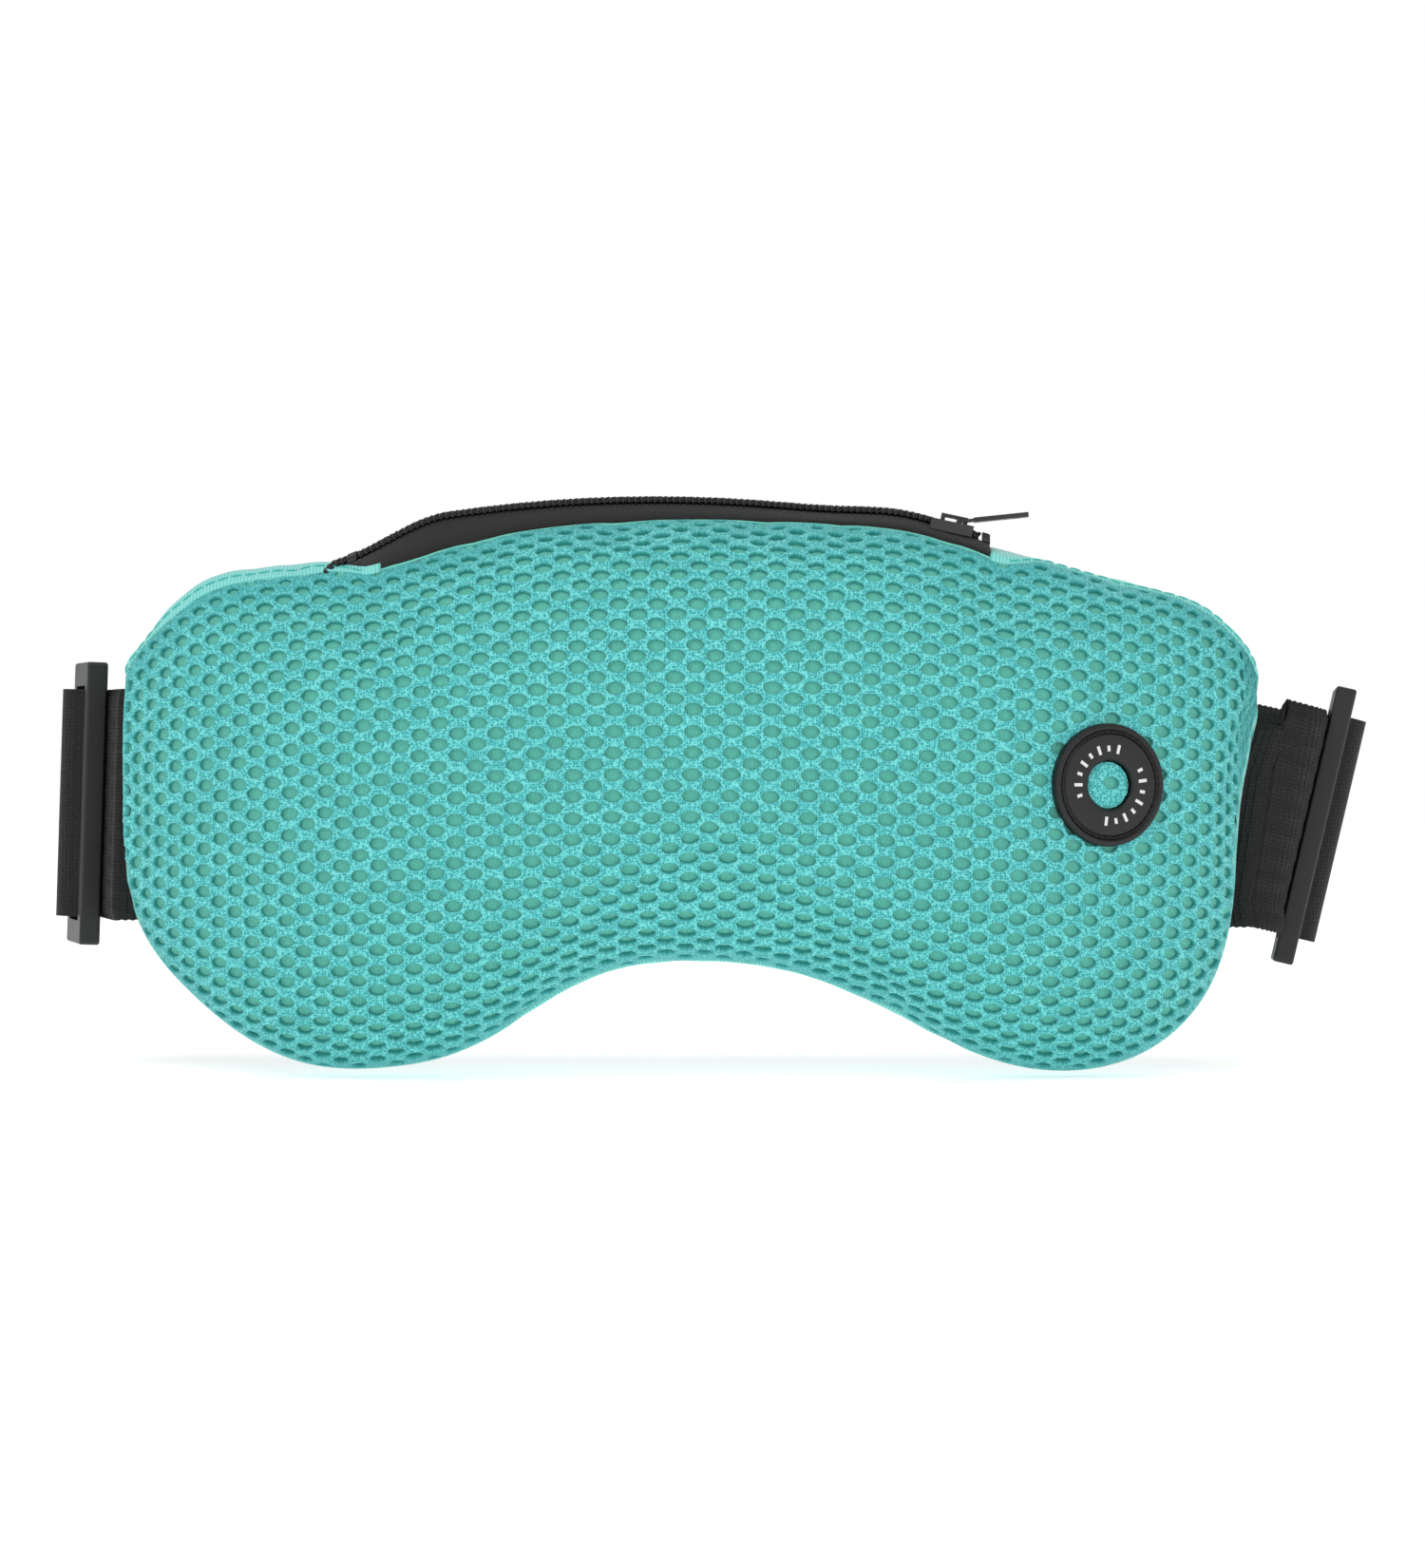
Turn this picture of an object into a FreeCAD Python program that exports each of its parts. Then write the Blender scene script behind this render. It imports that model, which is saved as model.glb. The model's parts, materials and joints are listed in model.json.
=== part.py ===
"""Eye massager mask: a padded fabric mask with a vibration unit inside and a webbing strap behind it.

Millimetres. The origin is the middle of the mask at the front of its curve: +X is to the right as someone
facing the mask sees it, +Y runs back towards the wearer's face, +Z is up.
The mask is bent round the face, so its middle surface is a vertical cylinder of radius WRAP_R that touches Y = 0.
"""

import FreeCAD, Part
import math
import os

from FreeCAD import Vector

# ---- driving dimensions ----
WRAP_R = 420.0  # radius of the bend round the face
MESH_T = 3.8  # air mesh of the front panel with its backing
BACK_T = 1.4  # soft fabric of the back panel
LAYER_GAP = 0.12  # room between two layers
SEAM_GAP = 0.15  # half of the gap between front and back at the seam

# Sections of the mask body: x, lowest z, highest z, depth in front of the middle surface, depth behind it.
SECTIONS = [
    (-122.5, 13.1, 25.2, 2.2, 2.0),
    (-121.3, -8.1, 28.2, 4.6, 3.0),
    (-119.4, -27.2, 31.8, 6.8, 4.2),
    (-115.1, -34.6, 36.8, 10.0, 6.0),
    (-107.9, -42.4, 43.8, 13.4, 8.0),
    (-98.1, -50.3, 47.5, 16.4, 10.0),
    (-83.9, -57.0, 48.8, 19.2, 12.0),
    (-65.7, -58.1, 50.8, 21.4, 13.6),
    (-45.7, -53.0, 54.8, 22.4, 14.4),
    (-23.8, -40.0, 57.6, 22.6, 14.4),
    (2.0, -35.4, 58.5, 22.6, 14.4),
    (25.8, -39.1, 57.9, 22.8, 14.4),
    (45.7, -47.9, 56.6, 23.0, 14.4),
    (63.7, -56.3, 52.6, 22.4, 13.8),
    (81.9, -58.9, 47.7, 20.6, 12.4),
    (96.1, -55.5, 44.3, 17.2, 10.4),
    (105.8, -48.6, 41.8, 13.6, 8.4),
    (112.0, -39.6, 38.8, 10.2, 6.6),
    (115.0, -30.2, 36.4, 8.0, 5.4),
    (117.9, -4.0, 33.6, 5.6, 4.0),
    (120.4, 9.7, 30.2, 3.8, 3.0),
    (122.2, 17.5, 26.4, 2.0, 1.8),
]
ROUNDNESS = 2.6  # exponent of a section's profile: 2 is an ellipse, more is squarer
FRONT_STEPS = (-0.93, -0.72, -0.38, 0.0, 0.38, 0.72, 0.93)
BACK_STEPS = (0.86, 0.5, 0.0, -0.5, -0.86)

# Zip along the top: an arc in the plane Y = ZIP_Y.
ZIP_R = 300.0
ZIP_X, ZIP_TOP, ZIP_Y = -8.0, 62.4, 3.0
ZIP_LEFT_X, ZIP_RIGHT_X = -64.0, 61.0
ZIP_SLIDER_X = 55.0
COIL_W, COIL_H, COIL_GAP = 1.9, 2.0, 1.3
TAPE_T, TAPE_DROP, TAPE_REACH = 0.7, 5.5, 2.9
ZIP_OPENING_W, ZIP_OPENING_D = 7.8, 7.0  # opening in the cover that the zip closes

# Push button, its rubber ring and its switch share one axis, which leans out to the right.
BUTTON_X, BUTTON_Z, BUTTON_LEAN = 87.6, 1.8, 24.0
RING_R, RING_HOLE_R = 13.0, 5.2
RING_PROUD, RING_SUNK = 1.7, 1.3
PATCH_R, PLUNGER_R = 4.9, 4.2
BUTTON_TRAVEL = 2.2
SWITCH_R, SWITCH_FRONT, SWITCH_BACK = 11.0, 5.4, 18.8

# Battery box for two AA cells, and a motor pod on each side.
CELL_R, CELL_L, CELL_PITCH = 7.25, 50.5, 15.3
BOX_X0, BOX_X1, BOX_Z0, BOX_Z1, BOX_Y0, BOX_Y1 = -42.0, 24.0, 0.0, 34.2, -10.0, 10.2
BOX_WALL = 1.5
LID_T, LID_TRAVEL = 1.6, 62.0
POD_X, POD_Z = 58.0, -18.0
POD_L, POD_H, POD_D = 32.0, 20.0, 18.0
POD_WALL = 1.5
MOTOR_R, MOTOR_L, SHAFT_R = 6.0, 16.0, 1.0
WEIGHT_R, WEIGHT_L = 6.8, 5.0
POCKET_GAP = 0.4  # room round the hard parts in the foam

# Strap: webbing from one side seam round the back to the other, with a slider on each side.
WEB_W, WEB_T = 50.0, 1.8
STRAP_Z, SEAM_Y = -2.5, 17.8
BACK_Y = 125.0  # middle of the webbing at the back of the loop
CORNER_R = 36.0
LEFT_SEAM_X, LEFT_SPLAY = -124.2, 14.0
RIGHT_SEAM_X, RIGHT_OUT, RIGHT_SPLAY = 122.3, 55.0, 5.0
RIGHT_FIRST, RIGHT_BEND_R = 7.0, 12.0
LEFT_LEAN, RIGHT_LEAN = 1.8, 13.2  # each side of the strap hangs at this angle
RIGHT_DROP = 1.3
SLIDER_L, SLIDER_T, BAR_W, SLOT_W = 62.0, 4.5, 4.5, 5.0
SLIDER_LIFT = 1.15  # from the webbing's middle to the slider's inner face
LEFT_SLIDER_AT, RIGHT_SLIDER_AT = 15.0, 1.5  # from the start of the straight stretch

Z_AXIS, Y_AXIS, X_AXIS = Vector(0, 0, 1), Vector(0, 1, 0), Vector(1, 0, 0)
ORIGIN = Vector(0, 0, 0)
FAR = 400.0


def sind(a):
    return math.sin(math.radians(a))


def cosd(a):
    return math.cos(math.radians(a))


def save(name, shape):
    """Writes one node: a solid, or a compound of separate solids."""
    shape.exportStep(f"parts/{name}.step")


def box(x0, x1, y0, y1, z0, z1):
    return Part.makeBox(x1 - x0, y1 - y0, z1 - z0, Vector(x0, y0, z0))


def rod(radius, start, end):
    """A cylinder between two points."""
    return Part.makeCylinder(radius, (end - start).Length, start, end - start)


def prism(points, depth):
    """A polygon in the XY plane pulled up along Z by depth."""
    wire = Part.makePolygon([Vector(x, y, 0) for x, y in points + points[:1]])
    return Part.Face(wire).extrude(Vector(0, 0, depth))


def fuse(shapes):
    """One solid from touching shapes."""
    whole = shapes[0]
    for other in shapes[1:]:
        whole = whole.fuse(other)
    return whole.removeSplitter()


# ---- mask body ----
def middle_y(x):
    """Y of the mask's middle surface."""
    return WRAP_R - math.sqrt(WRAP_R**2 - x**2)


def profile(t):
    return math.sqrt(max(0.0, 1.0 - abs(t) ** ROUNDNESS))


def section_wire(x, low, high, front, back, joined_in_front):
    """Closed smooth outline of the mask at one x, which starts and ends in the middle of its front or of its back."""
    middle, half, y0 = (low + high) / 2, (high - low) / 2, middle_y(x)
    points = [Vector(x, y0, low)]
    points += [Vector(x, y0 - front * profile(t), middle + half * t) for t in FRONT_STEPS]
    points += [Vector(x, y0, high)]
    points += [Vector(x, y0 + back * profile(t), middle + half * t) for t in BACK_STEPS]
    start = 1 + len(FRONT_STEPS) // 2 if joined_in_front else 2 + len(FRONT_STEPS) + len(BACK_STEPS) // 2
    points = points[start:] + points[:start]
    curve = Part.BSplineCurve()
    curve.interpolate(Points=points, PeriodicFlag=True, Parameters=shared_parameters(joined_in_front))
    return Part.Wire(curve.toShape())


def shared_parameters(joined_in_front):
    """Where the points of a section lie along its curve, the same for every section so that the loft stays simple."""
    heights = [-1.0] + list(FRONT_STEPS) + [1.0] + list(BACK_STEPS)
    depths = [0.0] + [-0.45 * profile(t) for t in FRONT_STEPS] + [0.0] + [0.3 * profile(t) for t in BACK_STEPS]
    start = 1 + len(FRONT_STEPS) // 2 if joined_in_front else 2 + len(FRONT_STEPS) + len(BACK_STEPS) // 2
    loop = list(zip(heights, depths))
    loop = loop[start:] + loop[:start]
    loop.append(loop[0])
    places = [0.0]
    for (a, b), (c, d) in zip(loop, loop[1:]):
        places.append(places[-1] + math.hypot(c - a, d - b))
    return [place / places[-1] for place in places]


def padded_body(front_in=0.0, back_in=0.0, end_in=0.0, joined_in_front=False):
    """The mask's closed body, with its front, back and two ends moved in by these depths, and its edge with them."""
    edge_in = max(front_in, back_in) * 0.6
    middle_x = (SECTIONS[0][0] + SECTIONS[-1][0]) / 2
    reach = SECTIONS[-1][0] - middle_x
    wires = []
    for x, low, high, front, back in SECTIONS:
        away = x - middle_x
        away -= end_in * (away / reach) ** 9
        share = min(0.9, edge_in / ((high - low) / 2))
        inset = share * (high - low) / 2
        wires.append(
            section_wire(
                middle_x + away,
                low + inset,
                high - inset,
                front * math.exp(-front_in / front),
                back * math.exp(-back_in / back),
                joined_in_front,
            )
        )
    return Part.makeLoft(wires, True, False)


def seam_cylinder(offset):
    """Everything behind the mask's middle surface, moved back by offset."""
    return Part.makeCylinder(WRAP_R - offset, 2 * FAR, Vector(0, WRAP_R, -FAR), Z_AXIS)


BEHIND = seam_cylinder(SEAM_GAP)
NOT_FRONT = seam_cylinder(-SEAM_GAP)
OUTER = padded_body()
UNDER_MESH = padded_body(MESH_T, MESH_T, 2.0)
FRONT_FOAM = padded_body(MESH_T + LAYER_GAP, BACK_T + LAYER_GAP, 6.0)
BACK_OUTER = padded_body(joined_in_front=True)
BACK_INNER = padded_body(BACK_T, BACK_T, 2.0, True)
BACK_FOAM = padded_body(MESH_T + LAYER_GAP, BACK_T + LAYER_GAP, 6.0, True)


def surface_y(x, z):
    """Y of the mask's front surface at x, z."""
    line = Part.makeLine(Vector(x, -FAR, z), Vector(x, FAR, z))
    return min(v.Y for v in line.common(OUTER).Vertexes)


# ---- push button axis ----
INWARD = Vector(-sind(BUTTON_LEAN), cosd(BUTTON_LEAN), 0)
BUTTON_AT = Vector(BUTTON_X, surface_y(BUTTON_X, BUTTON_Z), BUTTON_Z)


def on_button(radius, start, end):
    """A cylinder on the button's axis between two depths below the mask's surface."""
    return Part.makeCylinder(radius, end - start, BUTTON_AT + INWARD * start, INWARD)


def turned_ring(outline):
    """A ring turned round the button's axis from (radius, height above the surface) points."""
    wire = Part.makePolygon([Vector(r, 0, h) for r, h in outline + outline[:1]])
    ring = Part.Face(wire).revolve(ORIGIN, Z_AXIS, 360)
    ring.Placement = FreeCAD.Placement(BUTTON_AT, FreeCAD.Rotation(Z_AXIS, INWARD * -1))
    return ring


def button_parts():
    rim, groove, groove_w = 1.5, 0.5, 0.7
    face = RING_PROUD - 0.4
    ring = turned_ring(
        [
            (RING_HOLE_R, -RING_SUNK),
            (RING_R, -RING_SUNK),
            (RING_R, RING_PROUD - 0.5),
            (RING_R - 0.5, RING_PROUD),
            (RING_R - rim, RING_PROUD),
            (RING_R - rim, face - groove),
            (RING_R - rim - groove_w, face - groove),
            (RING_R - rim - groove_w, face),
            (RING_HOLE_R + 0.4, face),
            (RING_HOLE_R, face - 0.4),
        ]
    )
    save("button_ring", ring)
    save("button_cover_patch", on_button(PATCH_R, -0.3, 2.2))
    flange_at = SWITCH_FRONT + 3.0
    save("button_plunger", on_button(PLUNGER_R, 2.2, flange_at + 1).fuse(on_button(6, flange_at, flange_at + 1.5)))
    cavity = on_button(8, flange_at - 0.2, SWITCH_BACK - 2.5)
    housing = on_button(SWITCH_R, SWITCH_FRONT, SWITCH_BACK)
    save("switch_housing", housing.cut(cavity).cut(on_button(PLUNGER_R + 0.3, 0, flange_at + 1)))
    spring_from, spring_to = flange_at + 2.1, SWITCH_BACK - 3.1
    save("switch_contact", on_button(2.6, flange_at + 4.2, SWITCH_BACK - 2.55))
    save("switch_spring", dome_spring(4.2, 6.4, spring_from, spring_to))


def dome_spring(narrow, wide, start, end):
    """A rubber dome on the button's axis, narrow where the plunger's flange rests on it."""
    wall = 0.6
    return turned_ring([(narrow - wall, -start), (narrow, -start), (wide, -end), (wide - wall, -end)])


# ---- battery box ----
def leaf_spring(x0, x1, y, z):
    """A bent strip that presses on a cell's flat end at x0 and rests on the wall at x1."""
    half, thick = 3.5, 0.5
    outline = [(x1, y - half), (x1, y + half), (x1 - thick, y + half), (x1 - thick, y - half + 1)]
    outline += [(x0 + thick, y), (x0 + thick, y + half), (x0, y + half), (x0, y - 0.2), (x1 - thick, y - half)]
    strip = prism(outline, 6)
    strip.translate(Vector(0, 0, z - 3))
    return strip


def battery_parts():
    base = box(BOX_X0, BOX_X1, BOX_Y0, BOX_Y1, BOX_Z0, BOX_Z1)
    lid_y = BOX_Y1 - LID_T - 0.6
    inner = (BOX_X0 + BOX_WALL, BOX_X1 - BOX_WALL)
    base = base.cut(box(*inner, BOX_Y0 + BOX_WALL, lid_y + 0.1, BOX_Z0 + BOX_WALL, BOX_Z1 - BOX_WALL))
    base = base.cut(box(BOX_X0 - 1, inner[1], lid_y, BOX_Y1 - 0.6, BOX_Z0 + 0.9, BOX_Z1 - 0.9))
    base = base.cut(box(BOX_X0 - 1, inner[1], BOX_Y1 - 0.7, BOX_Y1 + 1, BOX_Z0 + 2.2, BOX_Z1 - 2.2))
    save("battery_box", base)

    play = 0.1
    lid = box(BOX_X0, inner[1] - play, lid_y + play, BOX_Y1 - 0.6 - play, BOX_Z0 + 0.9 + play, BOX_Z1 - 0.9 - play)
    middle_z = (BOX_Z0 + BOX_Z1) / 2
    for i in range(4):
        x = BOX_X0 + 5 + 2.4 * i
        lid = lid.cut(box(x, x + 1.1, BOX_Y1 - 1.1, BOX_Y1, middle_z - 6, middle_z + 6))
    save("battery_lid", lid)

    cell_y = BOX_Y0 + BOX_WALL + CELL_R + 0.3
    rows = [middle_z - CELL_PITCH / 2, middle_z + CELL_PITCH / 2]
    cell_x = inner[0] + 2.0
    nub_r, nub_l = 2.75, 1.1
    cells, springs, plates = [], [], []
    for z in rows:
        body = rod(CELL_R, Vector(cell_x + nub_l, cell_y, z), Vector(cell_x + CELL_L, cell_y, z))
        cells.append(body.fuse(rod(nub_r, Vector(cell_x, cell_y, z), Vector(cell_x + nub_l + 1, cell_y, z))))
        springs.append(leaf_spring(cell_x + CELL_L + 0.1, inner[1] - 0.1, cell_y, z))
        plates.append(box(inner[0] + 0.1, inner[0] + 0.6, cell_y - 4, cell_y + 4, z - 4, z + 4))
    save("battery_cells", Part.makeCompound(cells))
    save("battery_springs", Part.makeCompound(springs))
    save("battery_plates", Part.makeCompound(plates))


# ---- motor pods ----
def motor_parts(side, sign):
    """A two-part pod with its motor lying along X, and the off-centre weight on the outer end of the shaft."""
    x, y, z = sign * POD_X, middle_y(POD_X), POD_Z
    x0, x1 = x - POD_L / 2, x + POD_L / 2
    y0, y1 = y - POD_D / 2, y + POD_D / 2
    z0, z1 = z - POD_H / 2, z + POD_H / 2
    hollow = box(x0 + POD_WALL, x1 - POD_WALL, y0 + POD_WALL, y1 - POD_WALL, z0 + POD_WALL, z1 - POD_WALL)
    can_start = x - sign * (POD_L / 2 - 2.2)
    can_end = can_start + sign * MOTOR_L
    for rib_x in (can_start + sign * 3, can_end - sign * 3):
        rib = box(rib_x - 1, rib_x + 1, y0, y1, z0, z1)
        hollow = hollow.cut(rib.cut(rod(MOTOR_R + 0.06, Vector(rib_x - 2, y, z), Vector(rib_x + 2, y, z))))
    ear_l, ear_t, ear_h = 6.0, 2.0, 9.0
    ears_front, ears_back, screws, holes = [], [], [], []
    for end, hole_x in ((x0 - ear_l + 1, x0 - ear_l / 2 + 0.5), (x1 - 1, x1 + ear_l / 2 - 0.5)):
        ears_front.append(box(end, end + ear_l, y - ear_t, y - 0.05, z - ear_h / 2, z + ear_h / 2))
        ears_back.append(box(end, end + ear_l, y + 0.05, y + ear_t, z - ear_h / 2, z + ear_h / 2))
        hole = Vector(hole_x, y, z)
        shank = rod(0.9, hole - Y_AXIS * (ear_t + 1), hole + Y_AXIS * (ear_t + 0.5))
        head = rod(1.7, hole + Y_AXIS * (ear_t + 0.05), hole + Y_AXIS * (ear_t + 1.2))
        screws.append(fuse([shank, head]))
        holes.append(rod(0.98, hole - Y_AXIS * 9, hole + Y_AXIS * 9))
    holes = Part.makeCompound(holes)
    cradle = fuse([box(x0, x1, y0, y - 0.05, z0, z1)] + ears_front).cut(hollow).cut(holes)
    cover = fuse([box(x0, x1, y + 0.05, y1, z0, z1)] + ears_back).cut(hollow).cut(holes)
    save(f"motor_cradle_{side}", cradle)
    save(f"motor_cover_{side}", cover)
    save(f"motor_screws_{side}", Part.makeCompound(screws))

    def at(distance):
        return Vector(x + sign * distance, y, z)

    can = rod(MOTOR_R, Vector(can_start, y, z), Vector(can_end, y, z))
    boss = rod(2.4, at(-POD_L / 2 + 2 + MOTOR_L), at(-POD_L / 2 + 3.6 + MOTOR_L))
    bore = rod(SHAFT_R + 0.05, at(-POD_L / 2 + 8), at(POD_L / 2))
    save(f"motor_{side}", can.fuse(boss).cut(bore))
    disc = rod(WEIGHT_R, at(POD_L / 2 - 2.6 - WEIGHT_L), at(POD_L / 2 - 2.6))
    half = disc.cut(box(x - 40, x + 40, y - 20, y + 20, z + 1.8, z + 20))
    shaft = rod(SHAFT_R, at(-POD_L / 2 + 8.2), at(POD_L / 2 - 2.4))
    save(f"motor_weight_{side}", half.fuse(shaft))


# ---- wires ----
def wire_path(points):
    curve = Part.BSplineCurve()
    curve.interpolate([Vector(*p) for p in points])
    return Part.Wire(curve.toShape())


def wire_along(points, radius):
    """A round wire that follows a smooth curve through points."""
    path = wire_path(points)
    start = Vector(*points[0])
    heading = path.Edges[0].tangentAt(path.Edges[0].FirstParameter)
    ring = Part.Wire(Part.Circle(start, heading, radius).toShape())
    return path.makePipeShell([ring], True, True)


WIRES = {
    "wire_switch": [(BOX_X1 + 0.5, -2, 14), (40, -1, 12), (58, 0, 6), (70.5, 0.5, 2)],
    "wire_motor_right": [(BOX_X1 + 0.5, -2, 6), (32, 0, -2), (36, 2.2, -13.5)],
    "wire_motor_left": [(-30, -2, BOX_Z0 - 0.5), (-33, 0, -8), (-36, 2.2, -13.5)],
}
WIRE_R, CHANNEL_R = 0.8, 1.6


# ---- fabric and foam layers ----
def pockets():
    """The room that the hard parts, their wires and the sliding lid need in the foam."""
    gap = POCKET_GAP
    cuts = [zip_opening(), box(BOX_X0 - gap, BOX_X1 + gap, BOX_Y0 - gap, BOX_Y1 + gap, BOX_Z0 - gap, BOX_Z1 + gap)]
    lid_y = BOX_Y1 - LID_T - 0.6
    cuts.append(box(BOX_X0 - LID_TRAVEL - 1, BOX_X0, lid_y - gap, BOX_Y1, BOX_Z0, BOX_Z1))
    for sign in (-1, 1):
        x, y = sign * POD_X, middle_y(POD_X)
        half_l = POD_L / 2 + 5 + gap
        cuts.append(
            box(x - half_l, x + half_l, y - POD_D / 2 - gap, y + POD_D / 2 + gap, POD_Z - POD_H / 2 - gap, POD_Z + POD_H / 2 + gap)
        )
    cuts.append(on_button(SWITCH_R + gap, 0, SWITCH_BACK + gap))
    cuts += [wire_along(points, CHANNEL_R) for points in WIRES.values()]
    return cuts


def zip_opening():
    half = ZIP_OPENING_W / 2
    outline = [(-half, -ZIP_OPENING_D), (half, -ZIP_OPENING_D), (half, 8), (-half, 8)]
    return along_zip(outline, ZIP_LEFT_X - 2.2, ZIP_RIGHT_X + 2.2)


def mask_layers():
    opening = zip_opening()
    window = on_button(PATCH_R + 0.4, -20, 8)
    seat = on_button(RING_R + 0.2, -20, RING_SUNK + 0.05).cut(on_button(RING_HOLE_R - 0.2, -20, 8))
    front = OUTER.cut(NOT_FRONT).cut(UNDER_MESH).cut(opening).cut(window).cut(seat)
    save("front_mesh_panel", biggest(front))
    back = BACK_OUTER.common(BEHIND).cut(opening).cut(BACK_INNER)
    save("back_panel", biggest(back))
    room = pockets()
    for name, pad in (("foam_front_pad", FRONT_FOAM.cut(NOT_FRONT)), ("foam_back_pad", BACK_FOAM.common(BEHIND))):
        for cut in room:
            pad = pad.cut(cut)
        save(name, biggest(pad))


def biggest(shape):
    """The largest solid of a cut, without slivers."""
    return max(shape.Solids, key=lambda solid: solid.Volume)


# ---- zip ----
ZIP_CENTRE = Vector(ZIP_X, ZIP_Y, ZIP_TOP - ZIP_R)


def zip_angle(x):
    """Angle along the zip's arc from its highest point, in degrees, positive to the right."""
    return math.degrees(math.asin((x - ZIP_X) / ZIP_R))


def along_zip(outline, x_from, x_to):
    """A bar of constant section along the zip: outline is (y from the zip's plane, height over the coil's middle)."""
    points = [Vector(ZIP_CENTRE.x, ZIP_Y + y, ZIP_TOP + h) for y, h in outline + outline[:1]]
    face = Part.Face(Part.makePolygon(points))
    face.rotate(ZIP_CENTRE, Y_AXIS, zip_angle(x_from))
    return face.revolve(ZIP_CENTRE, Y_AXIS, zip_angle(x_to) - zip_angle(x_from))


def to_zip(shape, x):
    """Moves a shape built at the top of the arc to its place along the zip."""
    shape.rotate(ZIP_CENTRE, Y_AXIS, zip_angle(x))
    return shape


def zip_parts():
    for name, sign in (("front", -1), ("back", 1)):
        inner, outer = sign * COIL_GAP / 2, sign * (COIL_GAP / 2 + COIL_W)
        coil = [(inner, -COIL_H / 2), (outer, -COIL_H / 2), (outer, COIL_H / 2), (inner, COIL_H / 2)]
        save(f"zip_coil_{name}", along_zip(coil, ZIP_LEFT_X, ZIP_RIGHT_X))
        top, low = -COIL_H / 2 - 0.1, -COIL_H / 2 - TAPE_DROP
        near, far = sign * (COIL_GAP / 2 + 0.5), sign * (COIL_GAP / 2 + 1.6)
        tape = [(near, top), (far, top), (sign * (TAPE_REACH + TAPE_T), low), (sign * TAPE_REACH, low)]
        save(f"zip_tape_{name}", along_zip(tape, ZIP_LEFT_X, ZIP_RIGHT_X))
    stops = []
    for x_from, x_to in ((ZIP_LEFT_X - 1.6, ZIP_LEFT_X - 0.1), (ZIP_RIGHT_X + 0.1, ZIP_RIGHT_X + 1.6)):
        width = COIL_GAP / 2 + COIL_W
        stop = [(-width, -1.2), (width, -1.2), (width, 1.2), (-width, 1.2)]
        stops.append(along_zip(stop, x_from, x_to))
    save("zip_end_stops", Part.makeCompound(stops))

    # The slider is built at the top of the arc, its nose towards +X.
    x, z = ZIP_X, ZIP_TOP
    half_l, half_w, room = 4.6, 3.5, COIL_H / 2 + 0.3
    plate = 0.8
    top_plate = box(x - half_l, x + half_l, ZIP_Y - half_w, ZIP_Y + half_w, z + room, z + room + plate)
    neck = box(x + 1.2, x + 3.6, ZIP_Y - 0.45, ZIP_Y + 0.45, z - room - 0.2, z + room + 0.2)
    foot = box(x - half_l, x + half_l, ZIP_Y - 0.9, ZIP_Y + 0.9, z - room - 0.9, z - room)
    lips = []
    for sign in (-1, 1):
        lips.append(box(x - half_l, x + half_l, *sorted((ZIP_Y + sign * (half_w - 0.6), ZIP_Y + sign * half_w)), z - 0.2, z + room + 0.2))
    bridge_h = 2.4
    bridge = box(x - 2.6, x + 3.2, ZIP_Y - 0.8, ZIP_Y + 0.8, z + room, z + room + bridge_h)
    bridge = bridge.cut(box(x - 1.7, x + 2.3, ZIP_Y - 2, ZIP_Y + 2, z + room, z + room + bridge_h - 0.8))
    slider = fuse([top_plate, neck, foot, bridge] + lips)
    eye = Vector(x + 1.2, ZIP_Y, z + room + plate + 0.4)
    save("zip_slider", to_zip(slider, ZIP_SLIDER_X))

    # The pull hangs in the bridge by a cross bar and lies forward, nearly level.
    bar = rod(0.3, eye - Y_AXIS * 2.0, eye + Y_AXIS * 2.0)
    arms = [box(eye.x - 0.35, eye.x + 4.2, *sorted((ZIP_Y + s * 1.2, ZIP_Y + s * 2.2)), eye.z - 0.3, eye.z + 0.3) for s in (-1, 1)]
    tab = box(eye.x + 3.4, eye.x + 15.0, ZIP_Y - 2.2, ZIP_Y + 2.2, eye.z - 0.5, eye.z + 0.5)
    pull = fuse([bar, tab] + arms)
    pull = pull.cut(rod(1.0, Vector(eye.x + 12.6, ZIP_Y, eye.z - 2), Vector(eye.x + 12.6, ZIP_Y, eye.z + 2)))
    pull.rotate(eye, Y_AXIS, -18)
    save("zip_pull", to_zip(pull, ZIP_SLIDER_X))
    pivot = Part.Vertex(eye)
    to_zip(pivot, ZIP_SLIDER_X)
    print("zip pull pivot", pivot.Point)


# ---- strap ----
def lean(shape, seam_x, share=1.0):
    """Turns one side of the strap about the line of view, round its seam, and lowers the right side a little."""
    right = seam_x > 0
    shape.rotate(Vector(seam_x, 0, STRAP_Z), Y_AXIS, (RIGHT_LEAN if right else LEFT_LEAN) * share)
    shape.translate(Vector(0, 0, -RIGHT_DROP * share if right else 0))
    return shape


def web_section(x, y, heading):
    """Rectangle of webbing at x, y, facing along a heading from +Y towards +X."""
    corners = []
    for thick, wide in ((-1, -1), (1, -1), (1, 1), (-1, 1)):
        across, up = thick * WEB_T / 2, wide * WEB_W / 2
        corners.append(Vector(x + across * cosd(heading), y - across * sind(heading), STRAP_Z + up))
    return Part.Wire(Part.makePolygon(corners + corners[:1]))


def web_arc(x, y, heading_from, heading_to, radius):
    """Webbing bent round a vertical axis from one heading to another, turning towards +X heading or away from it."""
    turn = 1 if heading_to > heading_from else -1
    centre = Vector(x + turn * radius * cosd(heading_from), y - turn * radius * sind(heading_from), 0)
    face = Part.Face(web_section(x, y, heading_from))
    solid = face.revolve(centre, Z_AXIS, heading_from - heading_to)
    end = centre - Vector(turn * radius * cosd(heading_to), -turn * radius * sind(heading_to), 0)
    return solid, end.x, end.y


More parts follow.
